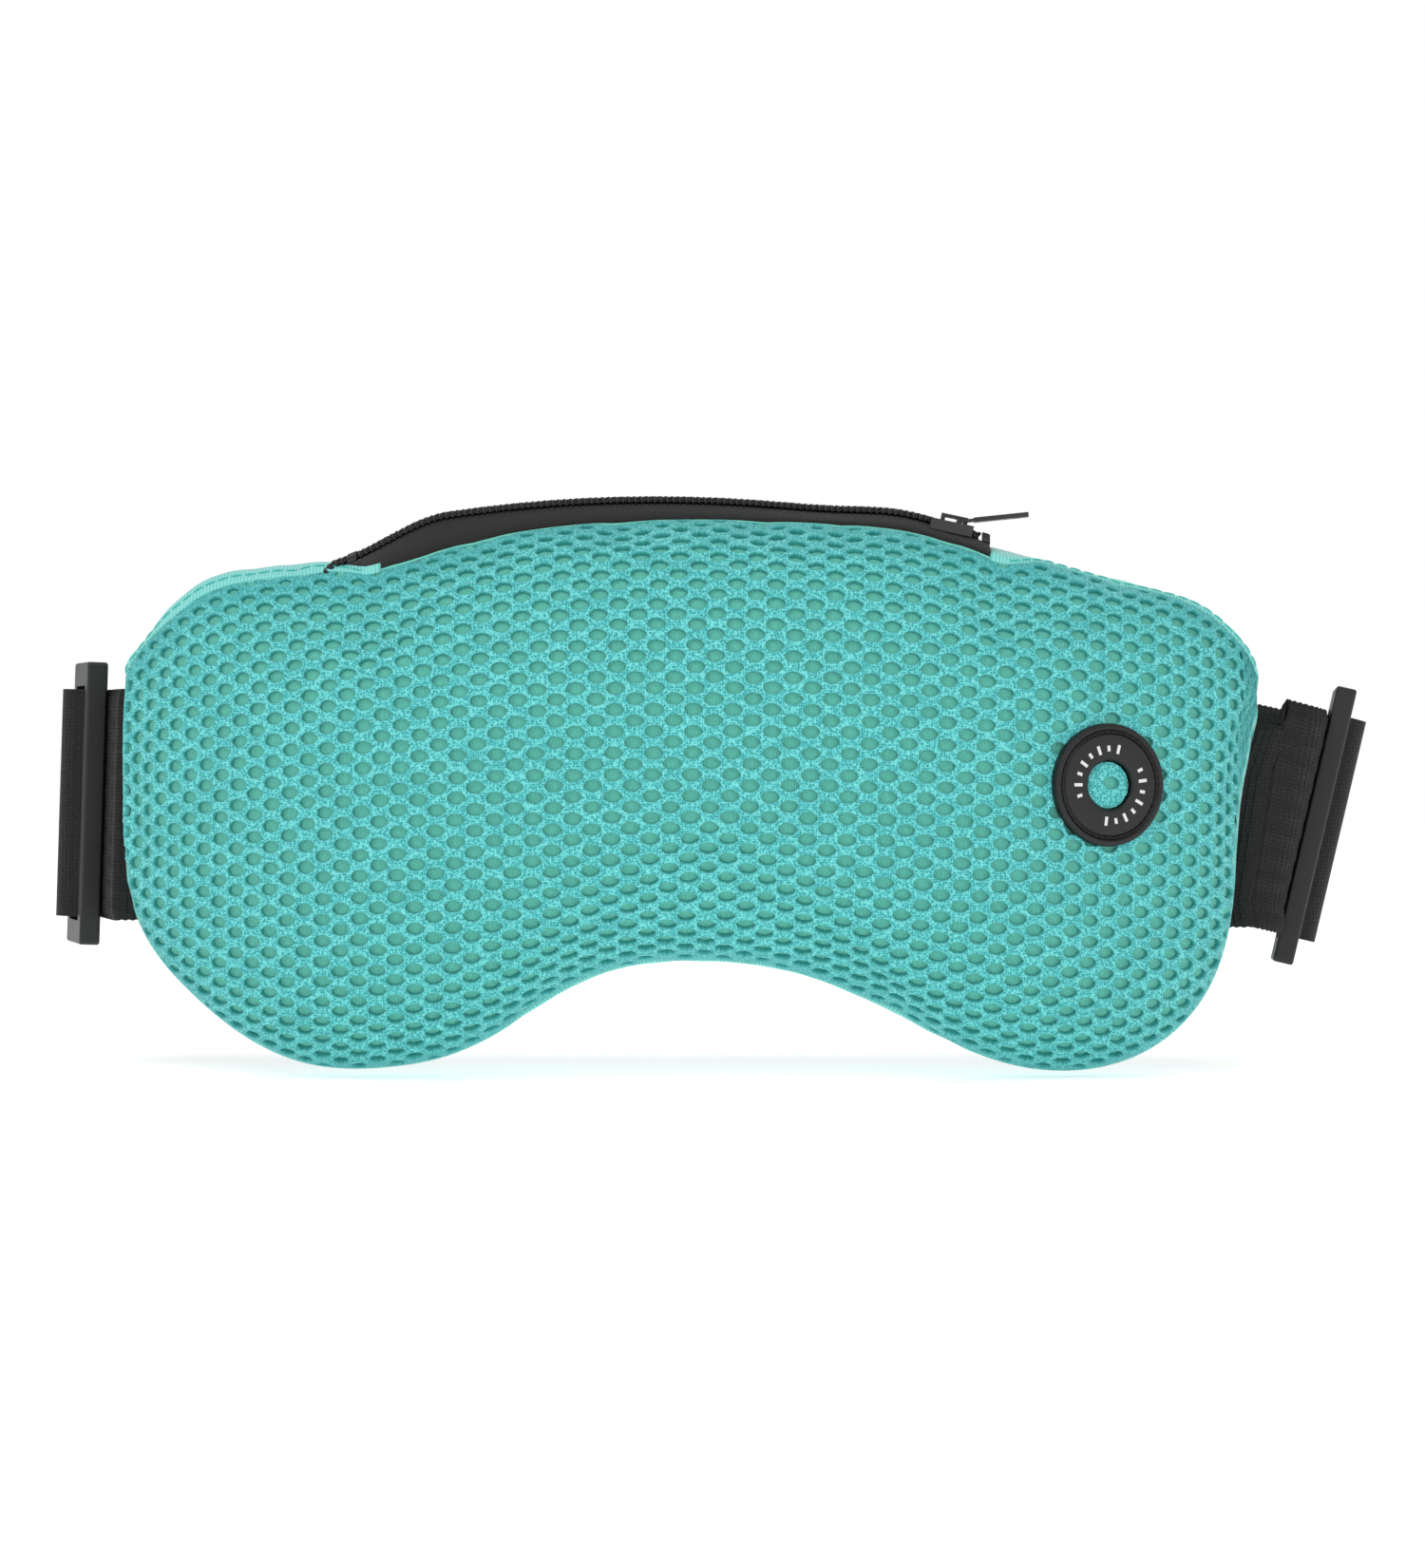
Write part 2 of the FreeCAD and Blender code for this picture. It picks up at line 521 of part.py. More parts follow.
def web_line(x, y, heading, length):
    face = Part.Face(web_section(x, y, heading))
    step = Vector(sind(heading), cosd(heading), 0) * length
    return face.extrude(step), x + step.x, y + step.y


def strap_slider():
    """Three-bar slider in its own frame: X along the strap, Y out of the loop, Z up, its front bar at X = 0."""
    length = 3 * BAR_W + 2 * SLOT_W
    frame = box(0, length, SLIDER_LIFT, SLIDER_LIFT + SLIDER_T, -SLIDER_L / 2, SLIDER_L / 2)
    frame = frame.makeFillet(1.0, [e for e in frame.Edges if e.Length < SLIDER_T + 0.1])
    frame = frame.makeFillet(0.6, [e for e in frame.Edges if e.Length > length - 4])
    slot_half = WEB_W / 2 + 0.8
    for i in range(2):
        start = BAR_W + i * (BAR_W + SLOT_W)
        frame = frame.cut(box(start, start + SLOT_W, 0, 10, -slot_half, slot_half))
    middle = BAR_W + SLOT_W
    for low, high in ((0, SLIDER_LIFT + 0.9), (SLIDER_LIFT + SLIDER_T - 1.2, 10)):
        frame = frame.cut(box(middle - 0.01, middle + BAR_W + 0.01, low, high, -slot_half, slot_half))
    return frame


def strap_fold():
    """Webbing arched over the slider's middle bar, in the slider's frame."""
    middle = 1.5 * BAR_W + SLOT_W
    foot = WEB_T / 2 + 0.2
    rise = 8.4

    def half_ellipse(half_width, height):
        curve = Part.Ellipse(Vector(middle, foot, -WEB_W / 2), max(half_width, height), min(half_width, height))
        if height > half_width:
            curve = Part.Ellipse(
                Vector(middle, foot + height, -WEB_W / 2), Vector(middle + half_width, foot, -WEB_W / 2), Vector(middle, foot, -WEB_W / 2)
            )
        face = Part.Face(Part.Wire(curve.toShape()))
        return face.extrude(Vector(0, 0, WEB_W)).common(box(-20, 40, foot, 40, -FAR, FAR))

    half = BAR_W / 2 + SLOT_W - 0.4
    return half_ellipse(half, rise).cut(half_ellipse(half - WEB_T, rise - WEB_T))


def place_on_strap(shape, x, y, heading, along):
    """Moves a shape from the slider's frame to the strap, along mm past x, y."""
    position = Vector(x + along * sind(heading), y + along * cosd(heading), STRAP_Z)
    out = Vector(cosd(heading), -sind(heading), 0) * (-1 if x < 0 else 1)
    run = Vector(sind(heading), cosd(heading), 0)
    matrix = FreeCAD.Matrix(
        run.x, out.x, 0, position.x,
        run.y, out.y, 0, position.y,
        0, 0, 1, position.z,
        0, 0, 0, 1,
    )
    return shape.transformGeometry(matrix)


def corner(x, y, heading_from, seam_x):
    """Webbing bent from one side round to the back while its lean dies away; returns it and the x where the back starts."""
    turn = 1 if seam_x < 0 else -1
    centre_x = x + turn * CORNER_R * cosd(heading_from)
    centre_y = y - turn * CORNER_R * sind(heading_from)
    steps = 8
    wires = []
    for i in range(steps + 1):
        share = i / steps
        heading = heading_from + (turn * 90 - heading_from) * share
        wire = web_section(centre_x - turn * CORNER_R * cosd(heading), centre_y + turn * CORNER_R * sind(heading), heading)
        wires.append(lean(wire, seam_x, (1 + math.cos(math.pi * share)) / 2))
    return Part.makeLoft(wires, True, False), centre_x


def strap_parts():
    # Left side: straight from the seam, round the corner to the back.
    corner_rise = CORNER_R * (1 + sind(LEFT_SPLAY))
    left_run = (BACK_Y - corner_rise - SEAM_Y) / cosd(LEFT_SPLAY)
    left_side, x, y = web_line(LEFT_SEAM_X, SEAM_Y, -LEFT_SPLAY, left_run)
    left_corner, left_end = corner(x, y, -LEFT_SPLAY, LEFT_SEAM_X)
    for name, shape in (("left_strap_slider", strap_slider()), ("left_strap_fold", strap_fold())):
        save(name, lean(place_on_strap(shape, LEFT_SEAM_X, SEAM_Y, -LEFT_SPLAY, LEFT_SLIDER_AT), LEFT_SEAM_X))

    # Right side: out from the seam, bent back, straight, then round the corner.
    first, x, y = web_line(RIGHT_SEAM_X, SEAM_Y, RIGHT_OUT, RIGHT_FIRST)
    bend, straight_x, straight_y = web_arc(x, y, RIGHT_OUT, RIGHT_SPLAY, RIGHT_BEND_R)
    corner_rise = CORNER_R * (1 + sind(RIGHT_SPLAY))
    right_run = (BACK_Y - corner_rise - straight_y) / cosd(RIGHT_SPLAY)
    right_line, x, y = web_line(straight_x, straight_y, RIGHT_SPLAY, right_run)
    right_side = fuse([first, bend, right_line])
    right_corner, right_end = corner(x, y, RIGHT_SPLAY, RIGHT_SEAM_X)
    for name, shape in (("right_strap_slider", strap_slider()), ("right_strap_fold", strap_fold())):
        save(name, lean(place_on_strap(shape, straight_x, straight_y, RIGHT_SPLAY, RIGHT_SLIDER_AT), RIGHT_SEAM_X))

    back = box(left_end, right_end, BACK_Y - WEB_T / 2, BACK_Y + WEB_T / 2, STRAP_Z - WEB_W / 2, STRAP_Z + WEB_W / 2)
    sides = [lean(left_side, LEFT_SEAM_X), left_corner, back, right_corner, lean(right_side, RIGHT_SEAM_X)]
    save("head_strap", fuse(sides))
    for side, heading, degrees in (("left", -LEFT_SPLAY, LEFT_LEAN), ("right", RIGHT_SPLAY, RIGHT_LEAN)):
        print(side, "strap runs along", sind(heading) * cosd(degrees), cosd(heading), -sind(heading) * sind(degrees))


def main():
    os.makedirs("parts", exist_ok=True)
    mask_layers()
    button_parts()
    battery_parts()
    motor_parts("left", -1)
    motor_parts("right", 1)
    for name, points in WIRES.items():
        save(name, wire_along(points, WIRE_R))
    zip_parts()
    strap_parts()
    print("button at", BUTTON_AT, "inward", INWARD, "zip centre", ZIP_CENTRE, "zip slider angle", zip_angle(ZIP_SLIDER_X))


main()
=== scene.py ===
import json
import math

import bpy
import numpy as np
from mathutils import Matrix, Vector
from mathutils.bvhtree import BVHTree


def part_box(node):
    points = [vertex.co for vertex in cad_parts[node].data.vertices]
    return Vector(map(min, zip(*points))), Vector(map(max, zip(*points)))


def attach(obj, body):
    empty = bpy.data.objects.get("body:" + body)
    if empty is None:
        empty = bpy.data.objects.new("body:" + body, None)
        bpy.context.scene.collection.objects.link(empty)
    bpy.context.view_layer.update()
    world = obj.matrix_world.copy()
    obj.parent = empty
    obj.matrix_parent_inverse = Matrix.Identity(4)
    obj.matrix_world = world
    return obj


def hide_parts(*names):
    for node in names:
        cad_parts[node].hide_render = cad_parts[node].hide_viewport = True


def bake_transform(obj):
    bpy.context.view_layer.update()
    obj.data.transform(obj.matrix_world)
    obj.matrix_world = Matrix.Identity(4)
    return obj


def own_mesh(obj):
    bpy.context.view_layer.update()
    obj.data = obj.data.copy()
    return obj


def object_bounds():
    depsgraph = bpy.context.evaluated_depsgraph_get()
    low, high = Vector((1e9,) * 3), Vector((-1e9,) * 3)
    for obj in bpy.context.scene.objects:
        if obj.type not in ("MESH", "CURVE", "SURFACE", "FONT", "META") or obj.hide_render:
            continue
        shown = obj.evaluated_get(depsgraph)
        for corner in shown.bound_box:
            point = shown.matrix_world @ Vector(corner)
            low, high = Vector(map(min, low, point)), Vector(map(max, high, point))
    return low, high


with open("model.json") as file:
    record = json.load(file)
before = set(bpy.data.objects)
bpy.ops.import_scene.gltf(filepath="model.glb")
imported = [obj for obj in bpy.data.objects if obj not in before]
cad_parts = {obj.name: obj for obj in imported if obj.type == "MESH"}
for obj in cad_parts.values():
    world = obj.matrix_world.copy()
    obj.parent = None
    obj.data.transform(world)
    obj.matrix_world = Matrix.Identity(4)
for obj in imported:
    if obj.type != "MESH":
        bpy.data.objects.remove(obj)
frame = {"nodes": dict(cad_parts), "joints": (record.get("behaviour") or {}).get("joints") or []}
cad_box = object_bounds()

MM = 0.001
rng = np.random.default_rng(7)


# ---- small helpers ----
def unit(v):
    """Rows of v scaled to length 1."""
    length = np.linalg.norm(v, axis=-1, keepdims=True)
    return v / np.where(length < 1e-12, 1, length)


def smooth_step(x, a, b):
    t = np.clip((x - a) / (b - a), 0, 1)
    return t * t * (3 - 2 * t)


def arc_of(path):
    """Length along a path up to each of its points."""
    return np.concatenate([[0], np.cumsum(np.linalg.norm(np.diff(path, axis=0), axis=1))])


def along_arc(path, arc, at):
    return np.stack([np.interp(at, arc, path[:, k]) for k in range(3)], -1)


def sheet_normals(rows):
    return unit(np.cross(np.gradient(rows, axis=0), np.gradient(rows, axis=1)))


def new_object(name, verts, faces, material=None, uv=None, values=None, smooth=True):
    """A mesh object in metres. uv is one pair per vertex, and values holds named numbers per vertex."""
    mesh = bpy.data.meshes.new(name)
    mesh.from_pydata([tuple(map(float, v)) for v in verts], [], [tuple(map(int, f)) for f in faces])
    mesh.validate()
    mesh.update()
    obj = bpy.data.objects.new(name, mesh)
    bpy.context.scene.collection.objects.link(obj)
    if uv is not None:
        layer = mesh.uv_layers.new(name="UVMap")
        index = np.zeros(len(mesh.loops), np.int64)
        mesh.loops.foreach_get("vertex_index", index)
        layer.data.foreach_set("uv", np.asarray(uv, np.float32)[index].ravel())
    for key, data in (values or {}).items():
        attribute = mesh.attributes.new(key, "FLOAT", "POINT")
        attribute.data.foreach_set("value", np.asarray(data, np.float32))
    if smooth:
        mesh.polygons.foreach_set("use_smooth", np.ones(len(mesh.polygons), bool))
    if material:
        mesh.materials.append(material)
    return obj


def modifier(obj, kind, **settings):
    m = obj.modifiers.new(kind.title(), kind)
    for key, value in settings.items():
        setattr(m, key, value)
    return m


def hand_over(piece, node, body):
    """Puts a piece on a body and in the place of a CAD node, if there is one."""
    if node:
        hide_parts(node)
    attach(piece, body)


def grid_faces(rows, columns, close_columns=False):
    """Quads over a rows x columns block of vertices."""
    faces = []
    for i in range(rows - 1):
        for j in range(columns if close_columns else columns - 1):
            k, a, b = (j + 1) % columns, i * columns, (i + 1) * columns
            faces.append((a + j, a + k, b + k, b + j))
    return faces


def capped(rows, columns):
    """Quads round a tube of rows x columns vertices, with a face over each end."""
    first, last = tuple(range(columns))[::-1], tuple((rows - 1) * columns + j for j in range(columns))
    return grid_faces(rows, columns, True) + [first, last]


def tube_along(points, radius, sides=8, up=(0.0, 0.0, 1.0)):
    """Vertices and faces of a round tube that follows points."""
    points = np.asarray(points, float)
    tangent = unit(np.gradient(points, axis=0))
    side = np.cross(tangent, np.broadcast_to(np.asarray(up, float), tangent.shape))
    weak = np.linalg.norm(side, axis=1) < 1e-6
    side[weak] = np.cross(tangent[weak], (0.0, 1.0, 0.0))
    side = unit(side)
    other = np.cross(side, tangent)
    turns = [2 * math.pi * k / sides for k in range(sides)]
    verts = [points + (side * math.cos(a) + other * math.sin(a)) * radius for a in turns]
    return np.stack(verts, 1).reshape(-1, 3), capped(len(points), sides)


def merged(parts):
    """One vertex and face list from many."""
    verts, faces, base = [], [], 0
    for v, f in parts:
        verts.append(np.asarray(v, float))
        faces += [tuple(i + base for i in face) for face in f]
        base += len(v)
    return np.vstack(verts), faces


# ---- materials ----
class Nodes:
    """Short way to build a node material. A value is a number, a colour or another node's output."""

    def __init__(self, name, roughness, **inputs):
        self.material = bpy.data.materials.new(name)
        self.material.use_nodes = True
        self.tree = self.material.node_tree
        self.shader = self.tree.nodes["Principled BSDF"]
        self.set(self.shader, Roughness=roughness, **inputs)

    def put(self, slot, value):
        if isinstance(value, bpy.types.NodeSocket):
            self.tree.links.new(value, slot)
        else:
            slot.default_value = (*value, 1) if isinstance(value, tuple) and len(value) == 3 else value

    def set(self, node, **inputs):
        for key, value in inputs.items():
            self.put(node.inputs[key.replace("_", " ")], value)

    def add(self, kind, options=None, out=0, **inputs):
        node = self.tree.nodes.new(kind)
        for key, value in (options or {}).items():
            setattr(node, key, value)
        self.set(node, **inputs)
        return node.outputs[out]

    def math(self, operation, a, b):
        node = self.tree.nodes.new("ShaderNodeMath")
        node.operation = operation
        self.put(node.inputs[0], a)
        self.put(node.inputs[1], b)
        return node.outputs[0]

    def times(self, a, b):
        return self.math("MULTIPLY", a, b)

    def plus(self, a, b):
        return self.math("ADD", a, b)

    def place(self, kind="Object"):
        return self.add("ShaderNodeTexCoord", out={"UV": 2, "Object": 3}[kind])

    def value(self, name):
        return self.add("ShaderNodeAttribute", {"attribute_name": name}, out=2)

    def noise(self, scale, detail, place=None):
        return self.add("ShaderNodeTexNoise", Vector=place or self.place(), Scale=scale, Detail=detail)

    def bands(self, direction, scale, distortion, place):
        inputs = {"Vector": place, "Scale": scale, "Distortion": distortion, "Detail": 1.0}
        return self.add("ShaderNodeTexWave", {"bands_direction": direction}, **inputs)

    def cells(self, scale, randomness, place, feature="F1"):
        options = {"feature": feature}
        return self.add("ShaderNodeTexVoronoi", options, Vector=place, Scale=scale, Randomness=randomness)

    def ramp(self, factor, *stops):
        node = self.tree.nodes.new("ShaderNodeValToRGB")
        ramp = node.color_ramp
        while len(ramp.elements) < len(stops):
            ramp.elements.new(0.5)
        for element, (position, colour) in zip(ramp.elements, stops):
            element.position = position
            element.color = (*colour, 1)
        self.tree.links.new(factor, node.inputs[0])
        return node.outputs[0]

    def greys(self, factor, *stops):
        return self.ramp(factor, *((position, (grey,) * 3) for position, grey in stops))

    def mix(self, factor, a, b):
        node = self.tree.nodes.new("ShaderNodeMix")
        node.data_type = "RGBA"
        for slot, value in ((0, factor), (6, a), (7, b)):
            self.put(node.inputs[slot], value)
        return node.outputs[2]

    def bump(self, height, strength, distance):
        return self.add("ShaderNodeBump", Height=height, Strength=strength, Distance=distance)

    def done(self, **inputs):
        self.set(self.shader, **inputs)
        return self.material


def linear(r, g, b):
    """Scene colour from 8-bit screen colour."""
    def one(c):
        c /= 255
        return c / 12.92 if c <= 0.04045 else ((c + 0.055) / 1.055) ** 2.4
    return (one(r), one(g), one(b))


def air_mesh_material():
    """Knitted face of the air mesh: uv is the cloth's own plane in millimetres."""
    n = Nodes("air_mesh", 0.62)
    uv = n.place("UV")
    loops = n.cells(1.9, 0.6, uv)
    threads = n.cells(1.9, 0.6, uv, "DISTANCE_TO_EDGE")
    tint = n.noise(0.06, 2, uv)
    fine = n.noise(3.5, 2, uv)
    # the knit loops' pattern; its lightest stop is a painted highlight on the raised tops of the loops
    loop_tone_and_highlight = n.ramp(
        loops, (0.0, linear(8, 94, 102)), (0.3, linear(40, 154, 156)), (0.5, linear(66, 184, 184)),
        (0.72, linear(128, 230, 226)),
    )
    patchy = n.mix(n.times(tint, 0.35), loop_tone_and_highlight, linear(62, 172, 172))
    # painted highlight: the lip of each hole is made lighter, as if lit
    rim_highlight = n.mix(n.times(n.value("rim_highlight"), 0.45), patchy, linear(112, 206, 204))
    # painted shade: the walls down into each hole are made darker
    with_hole_shade = n.mix(n.value("hole_shade"), rim_highlight, linear(62, 160, 154))
    # painted shade: the cloth is made darker towards its seams, where it curves away
    edge = n.mix(n.times(n.value("edge"), 0.45), with_hole_shade, linear(34, 152, 152))
    height = n.plus(n.plus(loops, n.times(fine, 0.5)), n.times(threads, 0.6))
    return n.done(
        Base_Color=edge, Normal=n.bump(height, 0.85, 0.00038), Sheen_Weight=0.12, Sheen_Roughness=0.4,
        Roughness=n.greys(fine, (0.3, 0.5), (0.7, 0.72)),
    )


def backing_material():
    """Greener inner face of the air mesh, seen through its holes."""
    n = Nodes("air_mesh_backing", 0.8)
    uv = n.place("UV")
    ribs = n.bands("X", 0.9, 1.5, uv)
    fine = n.noise(2.5, 3, uv)
    colour = n.mix(n.times(ribs, 0.5), linear(108, 212, 194), linear(136, 230, 210))
    colour = n.mix(n.times(fine, 0.4), colour, linear(104, 206, 186))
    return n.done(Base_Color=colour, Normal=n.bump(n.plus(ribs, fine), 0.6, 0.0003), Sheen_Weight=0.2)


def knit_material():
    """Smooth light jersey with fine upright ribs."""
    n = Nodes("back_knit", 0.7)
    uv = n.place("UV")
    ribs = n.bands("X", 0.42, 0.6, uv)
    rows = n.bands("Y", 0.5, 0.8, uv)
    cloud = n.noise(0.05, 3, uv)
    colour = n.mix(ribs, linear(104, 204, 196), linear(150, 228, 222))
    colour = n.mix(n.times(rows, 0.18), colour, linear(90, 190, 184))
    colour = n.mix(n.times(cloud, 0.25), colour, linear(126, 214, 208))
    bump = n.bump(n.plus(ribs, n.times(rows, 0.45)), 0.5, 0.0002)
    return n.done(Base_Color=colour, Normal=bump, Sheen_Weight=0.5, Sheen_Roughness=0.35)


def webbing_material(name="webbing", place="UV", size=1.0):
    """Black woven webbing: place, times size, is in millimetres."""
    n = Nodes(name, 0.55)
    uv = n.add("ShaderNodeVectorMath", {"operation": "SCALE"}, Vector=n.place(place), Scale=size)
    knots = n.cells(1.25, 0.25, uv)
    rows = n.bands("Y", 0.33, 0.5, uv)
    fine = n.noise(3.2, 3, uv)
    wear = n.noise(0.2, 3, uv)
    colour = n.ramp(knots, (0.0, linear(44, 44, 47)), (0.4, linear(16, 16, 17)), (0.7, linear(2, 2, 3)))
    colour = n.mix(n.times(rows, 0.3), colour, linear(6, 6, 7))
    colour = n.mix(n.times(wear, 0.25), colour, linear(16, 16, 17))
    height = n.math("SUBTRACT", n.times(fine, 0.5), knots)
    return n.done(
        Base_Color=colour, Normal=n.bump(height, 0.7, 0.0004), Specular_IOR_Level=0.3,
        Roughness=n.greys(fine, (0.3, 0.5), (0.7, 0.75)),
    )


def tape_material():
    """Black knitted zip tape with a fine herringbone."""
    n = Nodes("zip_tape", 0.75)
    uv = n.place("UV")
    twill = n.bands("DIAGONAL", 1.4, 0.4, uv)
    fine = n.noise(3.0, 3, uv)
    colour = n.mix(twill, linear(4, 4, 5), linear(16, 16, 18))
    return n.done(Base_Color=colour, Normal=n.bump(n.plus(twill, fine), 0.5, 0.0002), Sheen_Weight=0.2)


def plastic_material(name, dark, light, roughness, grain, highlight_amount):
    """Moulded plastic with a fine grain, faint flow marks and a painted highlight that makes convex edges a
    little lighter.
    """
    n = Nodes(name, roughness)
    grain_noise = n.noise(grain, 2)
    flow = n.noise(60, 4)
    edge_highlight = n.greys(n.add("ShaderNodeNewGeometry", out=7), (0.5, 0), (0.62, 1))  # output 7 is pointiness
    dark, light = linear(*dark), linear(*light)
    colour = n.mix(n.times(flow, 0.6), dark, light)
    # painted highlight: convex edges made lighter
    colour = n.mix(n.times(edge_highlight, highlight_amount), colour, tuple(min(1, c * 3 + 0.05) for c in light))
    rough = n.plus(n.times(flow, 0.25), roughness - 0.1)
    return n.done(Base_Color=colour, Roughness=rough, Normal=n.bump(grain_noise, 0.25, 0.00008))


def rubber_material():
    n = Nodes("ring_rubber", 0.5)
    grain = n.noise(2600, 2)
    dust = n.noise(120, 4)
    colour = n.mix(n.times(dust, 0.6), linear(3, 3, 4), linear(9, 9, 10))
    rough = n.plus(n.times(dust, 0.25), 0.4)
    return n.done(Base_Color=colour, Roughness=rough, Normal=n.bump(grain, 0.35, 0.0001))


def paint_material(name, colour, roughness=0.45):
    """Plain raised print or thread with a slight unevenness."""
    n = Nodes(name, roughness)
    fine = n.noise(3000, 2)
    mixed = n.mix(n.times(fine, 0.5), colour, tuple(c * 0.8 for c in colour))
    return n.done(Base_Color=mixed, Normal=n.bump(fine, 0.25, 0.0001))


def metal_material(name, colour, roughness=0.3):
    n = Nodes(name, roughness, Metallic=1.0)
    brushed = n.noise(900, 3)
    return n.done(
        Base_Color=n.mix(n.times(brushed, 0.5), colour, tuple(c * 0.7 for c in colour)),
        Roughness=n.plus(n.times(brushed, 0.2), roughness - 0.08), Normal=n.bump(brushed, 0.15, 0.00005),
    )


def foam_material():
    n = Nodes("foam", 0.9)
    cells = n.cells(900.0, 1.0, n.place())
    cloud = n.noise(30, 3)
    colour = n.mix(cells, linear(236, 232, 214), linear(206, 200, 178))
    colour = n.mix(n.times(cloud, 0.3), colour, linear(226, 216, 186))
    return n.done(Base_Color=colour, Normal=n.bump(cells, 0.6, 0.0004))


AIR_MESH = air_mesh_material()
BACKING = backing_material()
KNIT = knit_material()
WEBBING = webbing_material()
WEBBING_PLAIN = webbing_material("webbing_fold", "Object", 1000.0)
TAPE = tape_material()
COIL = plastic_material("zip_coil", (6, 6, 7), (16, 16, 18), 0.38, 2400, 0.1)
SLIDER_PLASTIC = plastic_material("slider_plastic", (9, 9, 10), (22, 22, 24), 0.42, 1600, 0.2)
ENAMEL = plastic_material("black_enamel", (8, 8, 9), (20, 20, 22), 0.32, 1200, 0.3)
RUBBER = rubber_material()
WHITE = paint_material("ring_print", linear(222, 224, 222))
BLACK_THREAD = paint_material("black_thread", linear(26, 26, 28), 0.6)
TEAL_THREAD = paint_material("teal_thread", linear(60, 190, 182), 0.55)
STEEL = metal_material("steel", (0.62, 0.62, 0.62))
BRASS = metal_material("brass", (0.75, 0.58, 0.28), 0.35)
FOAM = foam_material()


# ---- push button axis ----
button_joint = next(j for j in frame["joints"] if j["name"] == "button_press")
INWARD = np.array(button_joint["axis"], float)
ring_low, ring_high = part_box("button_ring")
RING_CENTRE = np.array((ring_low + ring_high) / 2)  # middle of the ring's thickness
RING_R = (ring_high.z - ring_low.z) / 2
HOLE_R = 5.2 * MM
PATCH_R = 4.9 * MM


def from_axis(points):
    """Distance of points from the button's axis."""
    offset = points - RING_CENTRE
    along = offset @ INWARD
    return np.linalg.norm(offset - along[..., None] * INWARD, axis=-1)


# ---- the mask's skin, taken from the CAD panels ----
STATIONS, FRONT_N, BACK_N = 191, 64, 48
RAY_START = 0.3  # outside everything
SIM_FRAMES, SIM_CAP = 20, 1.5 * MM
SIM_SCALE = 20.0  # the solver needs edges far longer than this cloth's own
SIM_PRESSURE, SPARE_CLOTH = 0.004, 0.008


def node_surface(*names):
    verts, faces = [], []
    for name in names:
        mesh, base = frame["nodes"][name].data, len(verts)
        verts += [v.co.copy() for v in mesh.vertices]
        faces += [tuple(i + base for i in p.vertices) for p in mesh.polygons]
    return BVHTree.FromPolygons(verts, faces)


front_low, front_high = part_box("front_mesh_panel")
half_width = (front_high.x - front_low.x) / 2
centre_x = (front_high.x + front_low.x) / 2
seam_back = front_high.y
wrap_radius = (half_width**2 + seam_back**2) / (2 * seam_back)


def seam_y(x):
    return wrap_radius - np.sqrt(wrap_radius**2 - np.asarray(x) ** 2)


coil_low, coil_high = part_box("zip_coil_front")
_, coil_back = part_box("zip_coil_back")
ZIP_Y = (coil_low.y + coil_back.y) / 2
SLOT_HALF, SLOT_END = 3.9 * MM, 2.2 * MM  # the zip's opening in the cloth
slot_low, slot_high = coil_low.x - SLOT_END, coil_high.x + SLOT_END


def in_slot(x):
    return (x > slot_low) & (x < slot_high)


def station_places():
    """Where the skin is cut across: closer together at both ends and at the ends of the zip."""
    turn = math.pi / 2 * 0.985
    xs = centre_x + (half_width - 0.25 * MM) * np.sin(np.linspace(-turn, turn, STATIONS)) / math.sin(turn)
    for end in (slot_low, slot_high):
        xs = np.concatenate([xs[abs(xs - end) > 0.5 * MM], [end - 0.15 * MM, end + 0.15 * MM]])
    return np.sort(xs)


